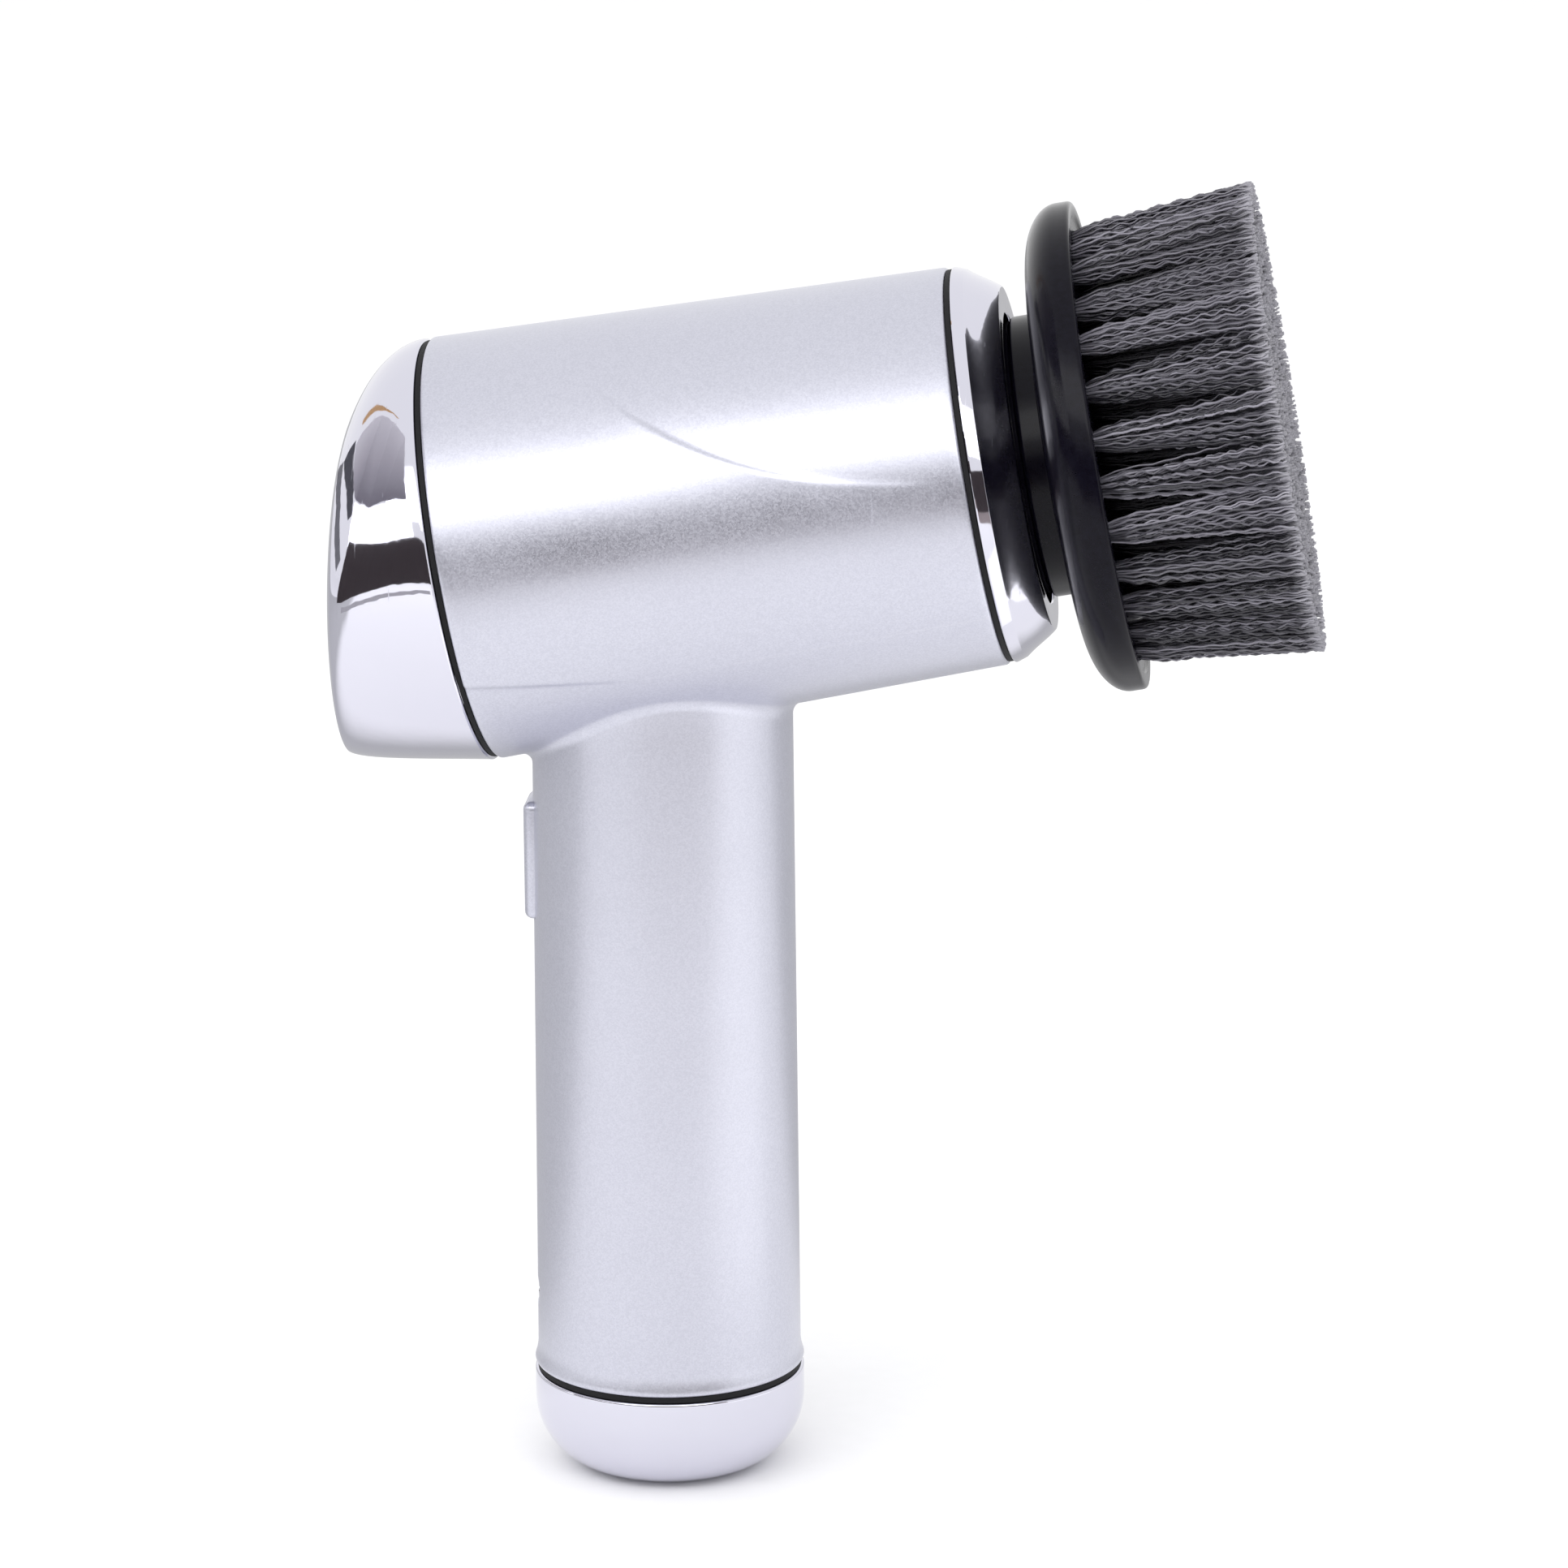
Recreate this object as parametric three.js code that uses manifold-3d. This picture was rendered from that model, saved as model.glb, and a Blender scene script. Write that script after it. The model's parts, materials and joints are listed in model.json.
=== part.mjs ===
// Cordless rotary cleansing brush, a pistol-shaped tool that stands on the flat end of its handle.
// Millimetres, +Z up the handle, +X towards the brush, origin at the centre of the flat end.
// The barrel, its drive and the brush head are built about the barrel's own axis, +Z pointing
// forwards and +X down, inside a group that is tilted and raised into place.

import * as THREE from 'three';
import { mergeVertices } from 'three/addons/utils/BufferGeometryUtils.js';
import { ParametricGeometry } from 'three/addons/geometries/ParametricGeometry.js';
import Module from 'manifold-3d';

const wasm = await Module();
wasm.setup();

// ---------------------------------------------------------------- driving dimensions

const GAP = 0.3; // clearance between neighbouring pieces
const WALL = 2.2; // thickness of the mouldings
const RING_GAP = 0.15; // clearance on either side of a seam ring
const PAST = 1; // how far a cutting tool runs past the face it opens

// sides of round pieces: outside, inside, and no wider than a screw
const OUTSIDE = 36;
const INSIDE = 20;
const SMALL = 10;

// handle, heights above its flat end
const SEAM = 14.5;
const SEAM_RADIUS = 18.6;
const GRIP_RADIUS = 18.15; // above the small flare at the seam
const GRIP_TOP_RADIUS = 17.7; // under the barrel
const FLARE = 3; // length of the flare
const FLAT_RADIUS = 8.6; // flat face that the tool stands on
const HANDLE_SEAM_RING = 0.6; // thickness of the dark ring in the seam

// barrel, distances along its axis from the point where it crosses the handle's axis
const AXIS_HEIGHT = 133.45;
const TILT = 9.75; // degrees that the front rises
const REAR_SEAM = -26.85;
const REAR_RADIUS = 28.75;
const FRONT_SEAM = 43.9;
const FRONT_RADIUS = 26.82;
const SEAM_RING = 0.5;
const BULKHEAD = [35.3, 37.7]; // wall inside the barrel that carries the drive
const NOSE_HOLE = 11; // radius of the hole in the bulkhead

// rear cap: its end is a shallow dome whose rim lies in a plane parallel to the handle
const RIM_BACK = 42.1; // rim behind the handle's axis
const RIM_HEIGHT = 123.05; // height of the rim's centre
const RIM_HALF_HEIGHT = 21.6;
const RIM_HALF_WIDTH = 22.5;
const DOME = 1.8;
const UNDERSIDE_LEAN = 0.17; // how much sooner the wall's underside starts to close in
const RIM_THINNING = 0.7; // of the wall's thickness, taken off the rim on the inside
const REAR_SPIGOT = [24.3, 26.1, -21.5]; // inner radius, outer radius, front end

// front collar
const COLLAR_BAND = 46; // where the narrow band turns into the cone
const COLLAR_BAND_RADIUS = 26.2;
const COLLAR_FRONT = 50.3;
const COLLAR_FRONT_RADIUS = 23.2;
const COLLAR_HOLE = 19.6;
const COLLAR_LIP = 1.2; // thickness of the flat round the hole
const COLLAR_SPIGOT = [22.6, 24.3, 40]; // inner radius, outer radius, rear end

// brush head
const HEAD_BACK = 48.4;
const NECK_STEP = 51; // the neck grows a little here
const NECK_INNER_RADIUS = 18.2;
const NECK_RADIUS = 18.9;
const DISC = [54.3, 61.3];
const DISC_RADIUS = 32.9;
const DISC_BACK_ROUND = [8, 4.9]; // across, along
const DISC_FRONT_ROUND = 1.5;
const DISC_HOLLOW = 57; // front end of the hollow between the hub and the skirt
const HUB = [6.8, 9.6]; // inner radius, outer radius
const HUB_BACK = 49.4;
const HUB_FRONT = 58.6;
const HUB_SOCKET_RADIUS = 6.5;
const HEX_CLEARANCE = 0.35;
const BRISTLE_BASE_RADIUS = 29.1;
const BRISTLE_TIP_RADIUS = 31.8;
const BRISTLE_TIP = 85.5;

// planetary gears: sun on the motor, three planets on the carrier, ring in the gearbox
const MODULE = 0.6;
const SUN_TEETH = 12;
const PLANET_TEETH = 24;
const RING_TEETH = 60;
const PLANETS = 3;
const PLANET_ORBIT = (MODULE * (SUN_TEETH + PLANET_TEETH)) / 2;
const PRESSURE_ANGLE = THREE.MathUtils.degToRad(20);
const BACKLASH = 0.16; // taken off each tooth's thickness
const ADDENDUM = 0.85; // in modules
const DEDENDUM = 1.2;
const PLANET_FACE = [18, 25.5];
const SUN_FACE = [17.7, 26];
const PIN_RADIUS = 1.5;

// gearbox
const GEARBOX_RADIUS = 20;
const GEARBOX = [14, 32]; // its rear wall starts, its rim ends
const GEARBOX_REAR_WALL = 2;
const FRONT_PLATE = [32.3, 35];
const EARS = 3;
const EAR_ORBIT = 21.6;
const EAR_RADIUS = 2.8;
const EAR_LENGTH = 10;
const NOSE_END = 47;
const NOSE_RADIUS = 10.6;
const BEARING_SEAT = 8.3;
const BEARING_SHOULDER = [37.5, 39.3, 5.5]; // from, to, radius
const BEARING_RADIUS = 8;
const BEARING_WIDTH = 4.6;
const REAR_BEARING = 32.6;
const FRONT_BEARING = 39.6;
const SHAFT_SEAL = [44.6, 46.6];
const CARRIER = [26.3, 30.3];
const CARRIER_RADIUS = 14.8;
const CARRIER_BOSS = [7, 32.2]; // radius, front end
const SHAFT_RADIUS = 4;
const SHAFT = [26.6, 47.4, 57]; // rear end, start of the hexagon, front end
const HEX_RADIUS = 4.4; // centre to corner
const SCREW_RADIUS = 1.3;
const SCREW_HEAD = [2.3, 1.6]; // radius, height

// motor
const MOTOR_RADIUS = 14;
const MOTOR = [-21, 13.7];
const MOTOR_WALL = 1.2;
const MOTOR_BOSS = [4.8, 1.7]; // radius, height
const MOTOR_SHAFT_RADIUS = 1.15;
const MAGNET = [10.7, 12.4, -16, 8]; // inner radius, outer radius, from, to
const MAGNET_SPAN = 140; // degrees
const ROTOR = [-14, 6];
const ROTOR_RADIUS = 10.2;
const COMMUTATOR = [3.5, -19, -15]; // radius, from, to
const END_BELL = [-24.3, -21.3];
const MOTOR_SCREW_ORBIT = 8;
const TERMINAL = [9, 4.5]; // down from the axis, to either side

// inside the handle
const CELL_RADIUS = 9.3;
const CELL = [19.3, 84.3];
const CELL_GROOVE = [3.8, 2.8, 0.5]; // start and end below the top, depth
const CELL_CAP = [2.8, 1]; // radius, height
const CELL_FORWARD = 3; // centre of the cell in front of the handle's axis
const TRAY_BOTTOM = 18.2;
const TRAY_WALL = 1.2;
const BOARD = [-10.8, -9.2]; // rear face, front face
const BOARD_WIDTH = 18;
const BOARD_HEIGHT = [18.8, 98];
const CHIPS = [[5, 6, 40], [6, 5, 52], [3, 3, 66], [8, 4, 30]]; // across, along, height of the middle
const CHIP_THICKNESS = 1.4;
const TACT_SWITCH = [6, 1.1]; // width and height, depth
const PLUNGER = [1.6, 0.9, 1.7]; // radius, from, to
const END_SPIGOT = [14.2, 15.6, 17.8]; // inner radius, outer radius, top

// leads, as points along the one on the +Y side
const LEAD_RADIUS = 0.7;
const MOTOR_LEAD = [[-10, 3, 98.6], [-10.6, 3.4, 104], [-16, 4.1, 109.6], [-24, 4.5, 112.4],
  [-29, 4.5, 115.6], [-28.6, 4.5, 119.4]];
const BATTERY_LEAD = [[4, 3.4, 84.8], [3.4, 3.4, 88.6], [-1, 3.4, 91.4], [-6, 3.4, 91.8], [-8.6, 3.4, 91.8]];

// power button and charging port, both on the rear of the handle
const BUTTON = [78.2, 94.6];
const BUTTON_WIDTH = 8.4;
const BUTTON_PROUD = 1.1;
const BUTTON_FLANGE = [-14.5, -13.7];
const PORT_HEIGHT = 25;
const PORT = [9, 3.3]; // width, height of the socket's shell
const PORT_DEPTH = [-17.6, -11.1];

// ---------------------------------------------------------------- shapes and solids

const finishes = {
  silver: { color: 0xcfcfdd, roughness: 0.34, metalness: 0.55 },
  plated: { color: 0xe4e4ee, roughness: 0.08, metalness: 1 },
  blackPlastic: { color: 0x2b2935, roughness: 0.38, metalness: 0 },
  bristle: { color: 0x55545c, roughness: 0.8, metalness: 0 },
  rubber: { color: 0x17171b, roughness: 0.7, metalness: 0 },
  steel: { color: 0xb6b8bd, roughness: 0.3, metalness: 1 },
  castGrey: { color: 0x8d9096, roughness: 0.5, metalness: 0.8 },
  whitePlastic: { color: 0xe6e3da, roughness: 0.45, metalness: 0 },
  copper: { color: 0xb87333, roughness: 0.4, metalness: 1 },
  magnet: { color: 0x3a3a3f, roughness: 0.6, metalness: 0.3 },
  board: { color: 0x1d5b38, roughness: 0.5, metalness: 0.1 },
  cell: { color: 0x2f6db5, roughness: 0.35, metalness: 0 },
  brass: { color: 0xc9a24a, roughness: 0.3, metalness: 1 },
  redWire: { color: 0xb02020, roughness: 0.5, metalness: 0 },
  blackWire: { color: 0x151515, roughness: 0.5, metalness: 0 },
};

const assembly = new THREE.Group();
const barrel = new THREE.Group();
barrel.position.z = AXIS_HEIGHT;
barrel.rotation.y = THREE.MathUtils.degToRad(90 - TILT);
barrel.updateMatrix();
assembly.add(barrel);

function place(parent, name, geometry, finish) {
  const mesh = new THREE.Mesh(geometry, new THREE.MeshStandardMaterial(finishes[finish]));
  mesh.name = name;
  parent.add(mesh);
  return mesh;
}

// A profile of [radius, height] points turned about Z, anticlockwise in that plane
function turned(profile, segments = INSIDE) {
  const points = profile.map(([radius, height]) => new THREE.Vector2(radius, height));
  return new THREE.LatheGeometry(points, segments).rotateX(Math.PI / 2);
}

function ring(inner, outer, from, to, segments) {
  return turned([[inner, from], [outer, from], [outer, to], [inner, to], [inner, from]], segments);
}

function rod(radius, from, to, segments = SMALL) {
  return turned([[0, from], [radius, from], [radius, to], [0, to]], segments);
}

function prism(outline, from, to) {
  const depth = to - from;
  return new THREE.ExtrudeGeometry(outline, { depth, bevelEnabled: false, curveSegments: 5 })
    .translate(0, 0, from);
}

function block(size, centre) {
  return new THREE.BoxGeometry(...size).translate(...centre);
}

function roundedRectangle(width, height, corner) {
  const x = width / 2 - corner;
  const y = height / 2 - corner;
  const outline = new THREE.Shape();
  outline.absarc(x, y, corner, 0, Math.PI / 2);
  outline.absarc(-x, y, corner, Math.PI / 2, Math.PI);
  outline.absarc(-x, -y, corner, Math.PI, 1.5 * Math.PI);
  outline.absarc(x, -y, corner, 1.5 * Math.PI, 2 * Math.PI);
  return outline;
}

// Points of an elliptical quarter round, from one angle to another in degrees
function quarterRound(centre, across, along, from, to, steps) {
  return Array.from({ length: steps + 1 }, (_, i) => {
    const angle = THREE.MathUtils.degToRad(from + ((to - from) * i) / steps);
    return [centre[0] + across * Math.cos(angle), centre[1] + along * Math.sin(angle)];
  });
}

function solid(geometry) {
  geometry.deleteAttribute('normal');
  geometry.deleteAttribute('uv');
  const merged = mergeVertices(geometry, 1e-4);
  const corners = merged.index.array;
  const triangles = [];
  for (let i = 0; i < corners.length; i += 3) {
    const [a, b, c] = corners.slice(i, i + 3);
    if (a !== b && b !== c && c !== a) triangles.push(a, b, c);
  }
  return new wasm.Manifold(new wasm.Mesh({
    numProp: 3,
    vertProperties: merged.attributes.position.array,
    triVerts: new Uint32Array(triangles),
  }));
}

function geometryOf(body) {
  const { vertProperties, triVerts } = body.getMesh();
  const geometry = new THREE.BufferGeometry();
  geometry.setAttribute('position', new THREE.BufferAttribute(vertProperties, 3));
  geometry.setIndex(new THREE.BufferAttribute(triVerts, 1));
  geometry.computeVertexNormals();
  return geometry;
}

const join = (...geometries) => geometries.map(solid).reduce((whole, part) => whole.add(part));
const cut = (body, ...tools) => tools.map(solid).reduce((rest, tool) => rest.subtract(tool), body);

// Copies of a geometry evenly spaced round Z
function around(count, firstAngle, make) {
  return Array.from({ length: count }, (_, i) =>
    make().rotateZ(THREE.MathUtils.degToRad(firstAngle + (360 * i) / count)));
}

function barrelRadius(along) {
  const slope = (FRONT_RADIUS - REAR_RADIUS) / (FRONT_SEAM - REAR_SEAM);
  return REAR_RADIUS + slope * (along - REAR_SEAM);
}

// ---------------------------------------------------------------- casings

// A solid piece of the barrel's cone, as far inside its surface as the inset says
function barrelCone(inset, from, to) {
  return turned([[0, from], [barrelRadius(from) - inset, from], [barrelRadius(to) - inset, to], [0, to]],
    OUTSIDE);
}

// One T-shaped moulding: the barrel's cone and the handle, open at all three ends
function bodyShell() {
  const from = REAR_SEAM + SEAM_RING / 2 + RING_GAP;
  const to = FRONT_SEAM - SEAM_RING / 2 - RING_GAP;
  const bottom = SEAM + HANDLE_SEAM_RING / 2 + RING_GAP;
  const insideBarrel = AXIS_HEIGHT - REAR_RADIUS + 2 * WALL + GAP;
  const cone = barrelCone(0, from, to);
  const grip = turned([[0, bottom], [SEAM_RADIUS, bottom], [GRIP_RADIUS, bottom + FLARE],
    [GRIP_TOP_RADIUS, insideBarrel], [0, insideBarrel]], OUTSIDE);
  const boreOfBarrel = barrelCone(WALL, from - PAST, to + PAST);
  const boreOfGrip = rod(GRIP_TOP_RADIUS - WALL + GAP, bottom - PAST, insideBarrel + PAST, OUTSIDE);
  const bulkhead = ring(NOSE_HOLE, barrelRadius(BULKHEAD[1]) - WALL / 2, ...BULKHEAD);
  const buttonHole = block(
    [2 * WALL + PAST, BUTTON_WIDTH + 2 * GAP, BUTTON[1] - BUTTON[0] + 2 * GAP],
    [-GRIP_TOP_RADIUS + WALL / 2, 0, (BUTTON[0] + BUTTON[1]) / 2]);
  const portHole = prism(roundedRectangle(PORT[0] + 2 * GAP, PORT[1] + 2 * GAP, PORT[1] / 2), 0, 3 * WALL)
    .rotateX(Math.PI / 2).rotateZ(-Math.PI / 2).translate(2 * WALL - GRIP_RADIUS, 0, PORT_HEIGHT);
  const shell = cut(join(cone.applyMatrix4(barrel.matrix), grip),
    boreOfBarrel.applyMatrix4(barrel.matrix), boreOfGrip, buttonHole, portHole);
  const wallWithHoles = cut(solid(bulkhead), ...earHoles(BULKHEAD[0] - PAST, BULKHEAD[1] + PAST));
  return geometryOf(shell.add(solid(geometryOf(wallWithHoles).applyMatrix4(barrel.matrix))));
}

// Skin of the rear cap: across its open side, along its wall to the rim, then over the domed end
function rearCapSkin(inset, front, wallSteps, domeSteps) {
  const rows = 1 + wallSteps + domeSteps;
  const tilt = THREE.MathUtils.degToRad(TILT);
  const down = new THREE.Vector3(Math.cos(tilt), 0, -Math.sin(tilt));
  const back = new THREE.Vector3(-Math.sin(tilt), 0, -Math.cos(tilt));
  const rimCentre = new THREE.Vector3(-RIM_BACK + inset, 0, RIM_HEIGHT)
    .applyMatrix4(barrel.matrix.clone().invert());

  function wall(angle, t) {
    const edge = new THREE.Vector3(Math.cos(angle), Math.sin(angle), 0)
      .multiplyScalar(REAR_RADIUS - inset).setZ(front);
    const outward = down.clone().multiplyScalar((RIM_HALF_HEIGHT - RIM_THINNING * inset) * Math.cos(angle));
    outward.y = (RIM_HALF_WIDTH - RIM_THINNING * inset) * Math.sin(angle);
    const rim = rimCentre.clone().add(outward);
    const length = edge.z - rim.z;
    const drop = Math.hypot(edge.x, edge.y) - Math.hypot(rim.x, rim.y);
    const lean = UNDERSIDE_LEAN * (1 + Math.cos(angle)) / 2;
    const leaving = edge.clone().multiplyScalar(1 - (0.5 * length * lean) / REAR_RADIUS)
      .setZ(front - 0.5 * length);
    const arriving = rim.clone().add(outward.clone().setLength(0.35 * drop));
    arriving.z += 0.1 * drop;
    return new THREE.CubicBezierCurve3(edge, leaving, arriving, rim).getPoint(t);
  }

  return new ParametricGeometry((turn, rise, target) => {
    const angle = -2 * Math.PI * turn;
    const row = Math.round(rise * rows);
    if (row === 0) {
      target.set(0, 0, front);
    } else if (row <= wallSteps + 1) {
      target.copy(wall(angle, (row - 1) / wallSteps));
    } else {
      const inwards = (row - 1 - wallSteps) / domeSteps;
      target.copy(wall(angle, 1)).lerp(rimCentre, inwards)
        .addScaledVector(back, DOME * (1 - (1 - inwards) ** 2));
    }
  }, OUTSIDE, rows);
}

function rearCap() {
  const front = REAR_SEAM - SEAM_RING / 2 - RING_GAP;
  const [inner, outer, spigotEnd] = REAR_SPIGOT;
  const cup = cut(solid(rearCapSkin(0, front, 5, 3)), rearCapSkin(WALL, front + GAP, 3, 2));
  return geometryOf(cup.add(solid(ring(inner, outer, front - WALL, spigotEnd, OUTSIDE))));
}

function frontCollar() {
  const back = FRONT_SEAM + SEAM_RING / 2 + RING_GAP;
  const [inner, outer, spigotEnd] = COLLAR_SPIGOT;
  const lip = COLLAR_FRONT - COLLAR_LIP;
  return turned([[inner, spigotEnd], [outer, spigotEnd], [outer, back], [barrelRadius(back), back],
    [COLLAR_BAND_RADIUS, COLLAR_BAND], [COLLAR_FRONT_RADIUS, COLLAR_FRONT], [COLLAR_HOLE, COLLAR_FRONT],
    [COLLAR_HOLE, lip], [COLLAR_FRONT_RADIUS - WALL, lip], [inner, COLLAR_BAND], [inner, spigotEnd]],
  OUTSIDE);
}

function endCap() {
  const top = SEAM - HANDLE_SEAM_RING / 2 - RING_GAP;
  const corner = SEAM_RADIUS - FLAT_RADIUS;
  const [inner, outer, spigotTop] = END_SPIGOT;
  return turned([[0, 0], ...quarterRound([FLAT_RADIUS, corner], corner, corner, -90, 0, 5),
    [SEAM_RADIUS, top], [outer, top], [outer, spigotTop], [inner, spigotTop], [inner, top - WALL],
    ...quarterRound([FLAT_RADIUS, corner], corner - WALL - 2, corner - WALL, 0, -90, 2), [0, WALL]], OUTSIDE);
}

// Dark elastic ring between two mouldings, set a little below their surface
function seamRing(outer, middle, thickness) {
  return ring(outer - WALL + GAP, outer - GAP, middle - thickness / 2, middle + thickness / 2, OUTSIDE);
}

// ---------------------------------------------------------------- gears and drive

// How far a tooth's flank is turned from its centre line at a radius, on an involute
function flankAngle(teeth, radius, thinning) {
  const pitchRadius = (MODULE * teeth) / 2;
  const involute = (angle) => Math.tan(angle) - angle;
  const base = pitchRadius * Math.cos(PRESSURE_ANGLE);
  const angleThere = Math.acos(base / Math.max(radius, base));
  return Math.PI / (2 * teeth) - thinning / (2 * pitchRadius) + involute(PRESSURE_ANGLE) - involute(angleThere);
}

// Outline whose first tooth is centred on +X
function toothedOutline(teeth, rootRadius, tipRadius, thinning, shape) {
  const radii = [rootRadius, tipRadius];
  const flank = radii.map((radius) => [radius, flankAngle(teeth, radius, thinning)]);
  const tooth = [...flank.map(([radius, angle]) => [radius, -angle]), ...flank.reverse()];
  const points = [];
  for (let i = 0; i < teeth; i += 1) {
    for (const [radius, angle] of tooth) {
      const turn = (2 * Math.PI * i) / teeth + angle;
      points.push(new THREE.Vector2(radius * Math.cos(turn), radius * Math.sin(turn)));
    }
  }
  return shape.setFromPoints(points);
}

function gearOutline(teeth) {
  const pitchRadius = (MODULE * teeth) / 2;
  return toothedOutline(teeth, pitchRadius - DEDENDUM * MODULE, pitchRadius + ADDENDUM * MODULE,
    BACKLASH, new THREE.Shape());
}

function roundHole(radius) {
  return new THREE.Path().absarc(0, 0, radius, 0, 2 * Math.PI);
}

function sunPinion() {
  const outline = gearOutline(SUN_TEETH);
  outline.holes.push(roundHole(MOTOR_SHAFT_RADIUS + GAP));
  return prism(outline, ...SUN_FACE).rotateZ(Math.PI / SUN_TEETH);
}

function planetGear() {
  const outline = gearOutline(PLANET_TEETH);
  outline.holes.push(roundHole(PIN_RADIUS + GAP));
  return prism(outline, ...PLANET_FACE);
}

function planetPin() {
  return rod(PIN_RADIUS, PLANET_FACE[0] - 0.1, CARRIER[1] - 0.4);
}

function planetCarrier() {
  const [bossRadius, bossEnd] = CARRIER_BOSS;
  const shaftHole = SHAFT_RADIUS + GAP;
  const plate = turned([[shaftHole, CARRIER[0]], [CARRIER_RADIUS, CARRIER[0]], [CARRIER_RADIUS, CARRIER[1]],
    [bossRadius, CARRIER[1]], [bossRadius, bossEnd], [shaftHole, bossEnd], [shaftHole, CARRIER[0]]]);
  const pinHoles = around(PLANETS, 0, () =>
    rod(PIN_RADIUS + GAP, CARRIER[0] - PAST, CARRIER[1] + PAST).translate(PLANET_ORBIT, 0, 0));
  return geometryOf(cut(solid(plate), ...pinHoles));
}

function outputShaft() {
  const [rear, hexStart, front] = SHAFT;
  const hexagon = rod(HEX_RADIUS, hexStart - PAST / 2, front, 6);
  return geometryOf(join(rod(SHAFT_RADIUS, rear, hexStart, INSIDE), hexagon));
}

function ears(from, to) {
  return around(EARS, 60, () => rod(EAR_RADIUS, from, to).translate(EAR_ORBIT, 0, 0));
}

function earHoles(from, to) {
  return around(EARS, 60, () => rod(SCREW_RADIUS + GAP, from, to).translate(EAR_ORBIT, 0, 0));
}

function motorScrewHoles(from, to) {
  return around(2, 90, () => rod(SCREW_RADIUS + GAP, from, to).translate(MOTOR_SCREW_ORBIT, 0, 0));
}

function gearboxHousing() {
  const pitchRadius = (MODULE * RING_TEETH) / 2;
  const rim = new THREE.Shape().absarc(0, 0, GEARBOX_RADIUS, 0, 2 * Math.PI);
  rim.holes.push(toothedOutline(RING_TEETH, pitchRadius - ADDENDUM * MODULE,
    pitchRadius + DEDENDUM * MODULE, -BACKLASH, new THREE.Path()));
  const [rear, front] = GEARBOX;
  const inside = rear + GEARBOX_REAR_WALL;
  const depth = front - inside + 0.1;
  const teeth = new THREE.ExtrudeGeometry(rim, { depth, bevelEnabled: false, curveSegments: INSIDE })
    .translate(0, 0, inside - 0.1);
  const wall = ring(MOTOR_BOSS[0] + GAP, GEARBOX_RADIUS, rear, inside);
  const clearBore = rod(GEARBOX_RADIUS - 0.5, inside, front, INSIDE);
  const lugs = ears(front - EAR_LENGTH, front).map((ear) => cut(solid(ear), clearBore.clone()));
  const housing = lugs.reduce((whole, lug) => whole.add(lug), join(teeth, wall));
  return geometryOf(cut(housing, ...earHoles(front - EAR_LENGTH + 2, front + PAST),
    ...motorScrewHoles(rear - PAST, inside + PAST)));
}

function gearboxFrontPlate() {
  const [back, front] = FRONT_PLATE;
  const [shoulderBack, shoulderFront, shoulderRadius] = BEARING_SHOULDER;
  const nose = turned([[BEARING_SEAT, back], [GEARBOX_RADIUS, back], [GEARBOX_RADIUS, front],
    [NOSE_RADIUS, front], [NOSE_RADIUS, NOSE_END], [BEARING_SEAT, NOSE_END], [BEARING_SEAT, shoulderFront],
    [shoulderRadius, shoulderFront], [shoulderRadius, shoulderBack], [BEARING_SEAT, shoulderBack],
    [BEARING_SEAT, back]]);
  return geometryOf(cut(join(nose, ...ears(back, front)), ...earHoles(back - PAST, front + PAST)));
}

// Two races with a recessed shield between them
function bearing(from) {
  const to = from + BEARING_WIDTH;
  const inner = SHAFT_RADIUS + 0.1;
  const shield = 0.35;
  const race = 1;
  return turned([[inner, from], [inner + race, from], [inner + race, from + shield],
    [BEARING_RADIUS - race, from + shield], [BEARING_RADIUS - race, from], [BEARING_RADIUS, from],
    [BEARING_RADIUS, to], [BEARING_RADIUS - race, to], [BEARING_RADIUS - race, to - shield],
    [inner + race, to - shield], [inner + race, to], [inner, to], [inner, from]]);
}

function shaftSeal() {
  const [from, to] = SHAFT_SEAL;
  const lip = SHAFT_RADIUS + 0.1;
  return turned([[lip + 1, from], [BEARING_RADIUS, from], [BEARING_RADIUS, to], [lip, to],
    [lip, to - 0.6], [lip + 1, from]]);
}

// Pan head with a round recess, its shank pointing to the rear
function screw(underHead, length, shank = SCREW_RADIUS) {
  const [radius, height] = SCREW_HEAD.map((size) => (size * shank) / SCREW_RADIUS);
  const top = underHead + height;
  return turned([[0, underHead - length], [shank, underHead - length], [shank, underHead], [radius, underHead],
    [radius, top - 0.4], [radius - 0.5, top], [0.5 * shank, top], [0.5 * shank, top - 0.8], [0, top - 0.8]],
  SMALL);
}

function motorCan() {
  const [rear, front] = MOTOR;
  const [bossRadius, bossHeight] = MOTOR_BOSS;
  const hole = MOTOR_SHAFT_RADIUS + GAP;
  const inner = MOTOR_RADIUS - MOTOR_WALL;
  const can = turned([[inner, rear], [MOTOR_RADIUS, rear], [MOTOR_RADIUS, front - 1],
    [MOTOR_RADIUS - 1, front], [bossRadius, front], [bossRadius, front + bossHeight],
    [hole, front + bossHeight], [hole, front - 1.6], [inner, front - 1.6], [inner, rear]]);
  return geometryOf(cut(solid(can), ...motorScrewHoles(front - 2 * PAST, front + PAST)));
}

function motorEndBell() {
  const [rear, front] = END_BELL;
  const hole = MOTOR_SHAFT_RADIUS + GAP;
  const [bossRadius, bossHeight] = MOTOR_BOSS;
  const bell = turned([[hole, rear - bossHeight], [bossRadius, rear - bossHeight], [bossRadius, rear],
    [MOTOR_RADIUS - 1, rear], [MOTOR_RADIUS, rear + 1], [MOTOR_RADIUS, front], [hole, front],
    [hole, rear - bossHeight]]);
  const [down, side] = TERMINAL;
  const tabs = [-side, side].map((y) => block([0.8, 2.4, 3.6], [down, y, rear - 1.3]));
  return geometryOf(join(bell, ...tabs));
}

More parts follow.
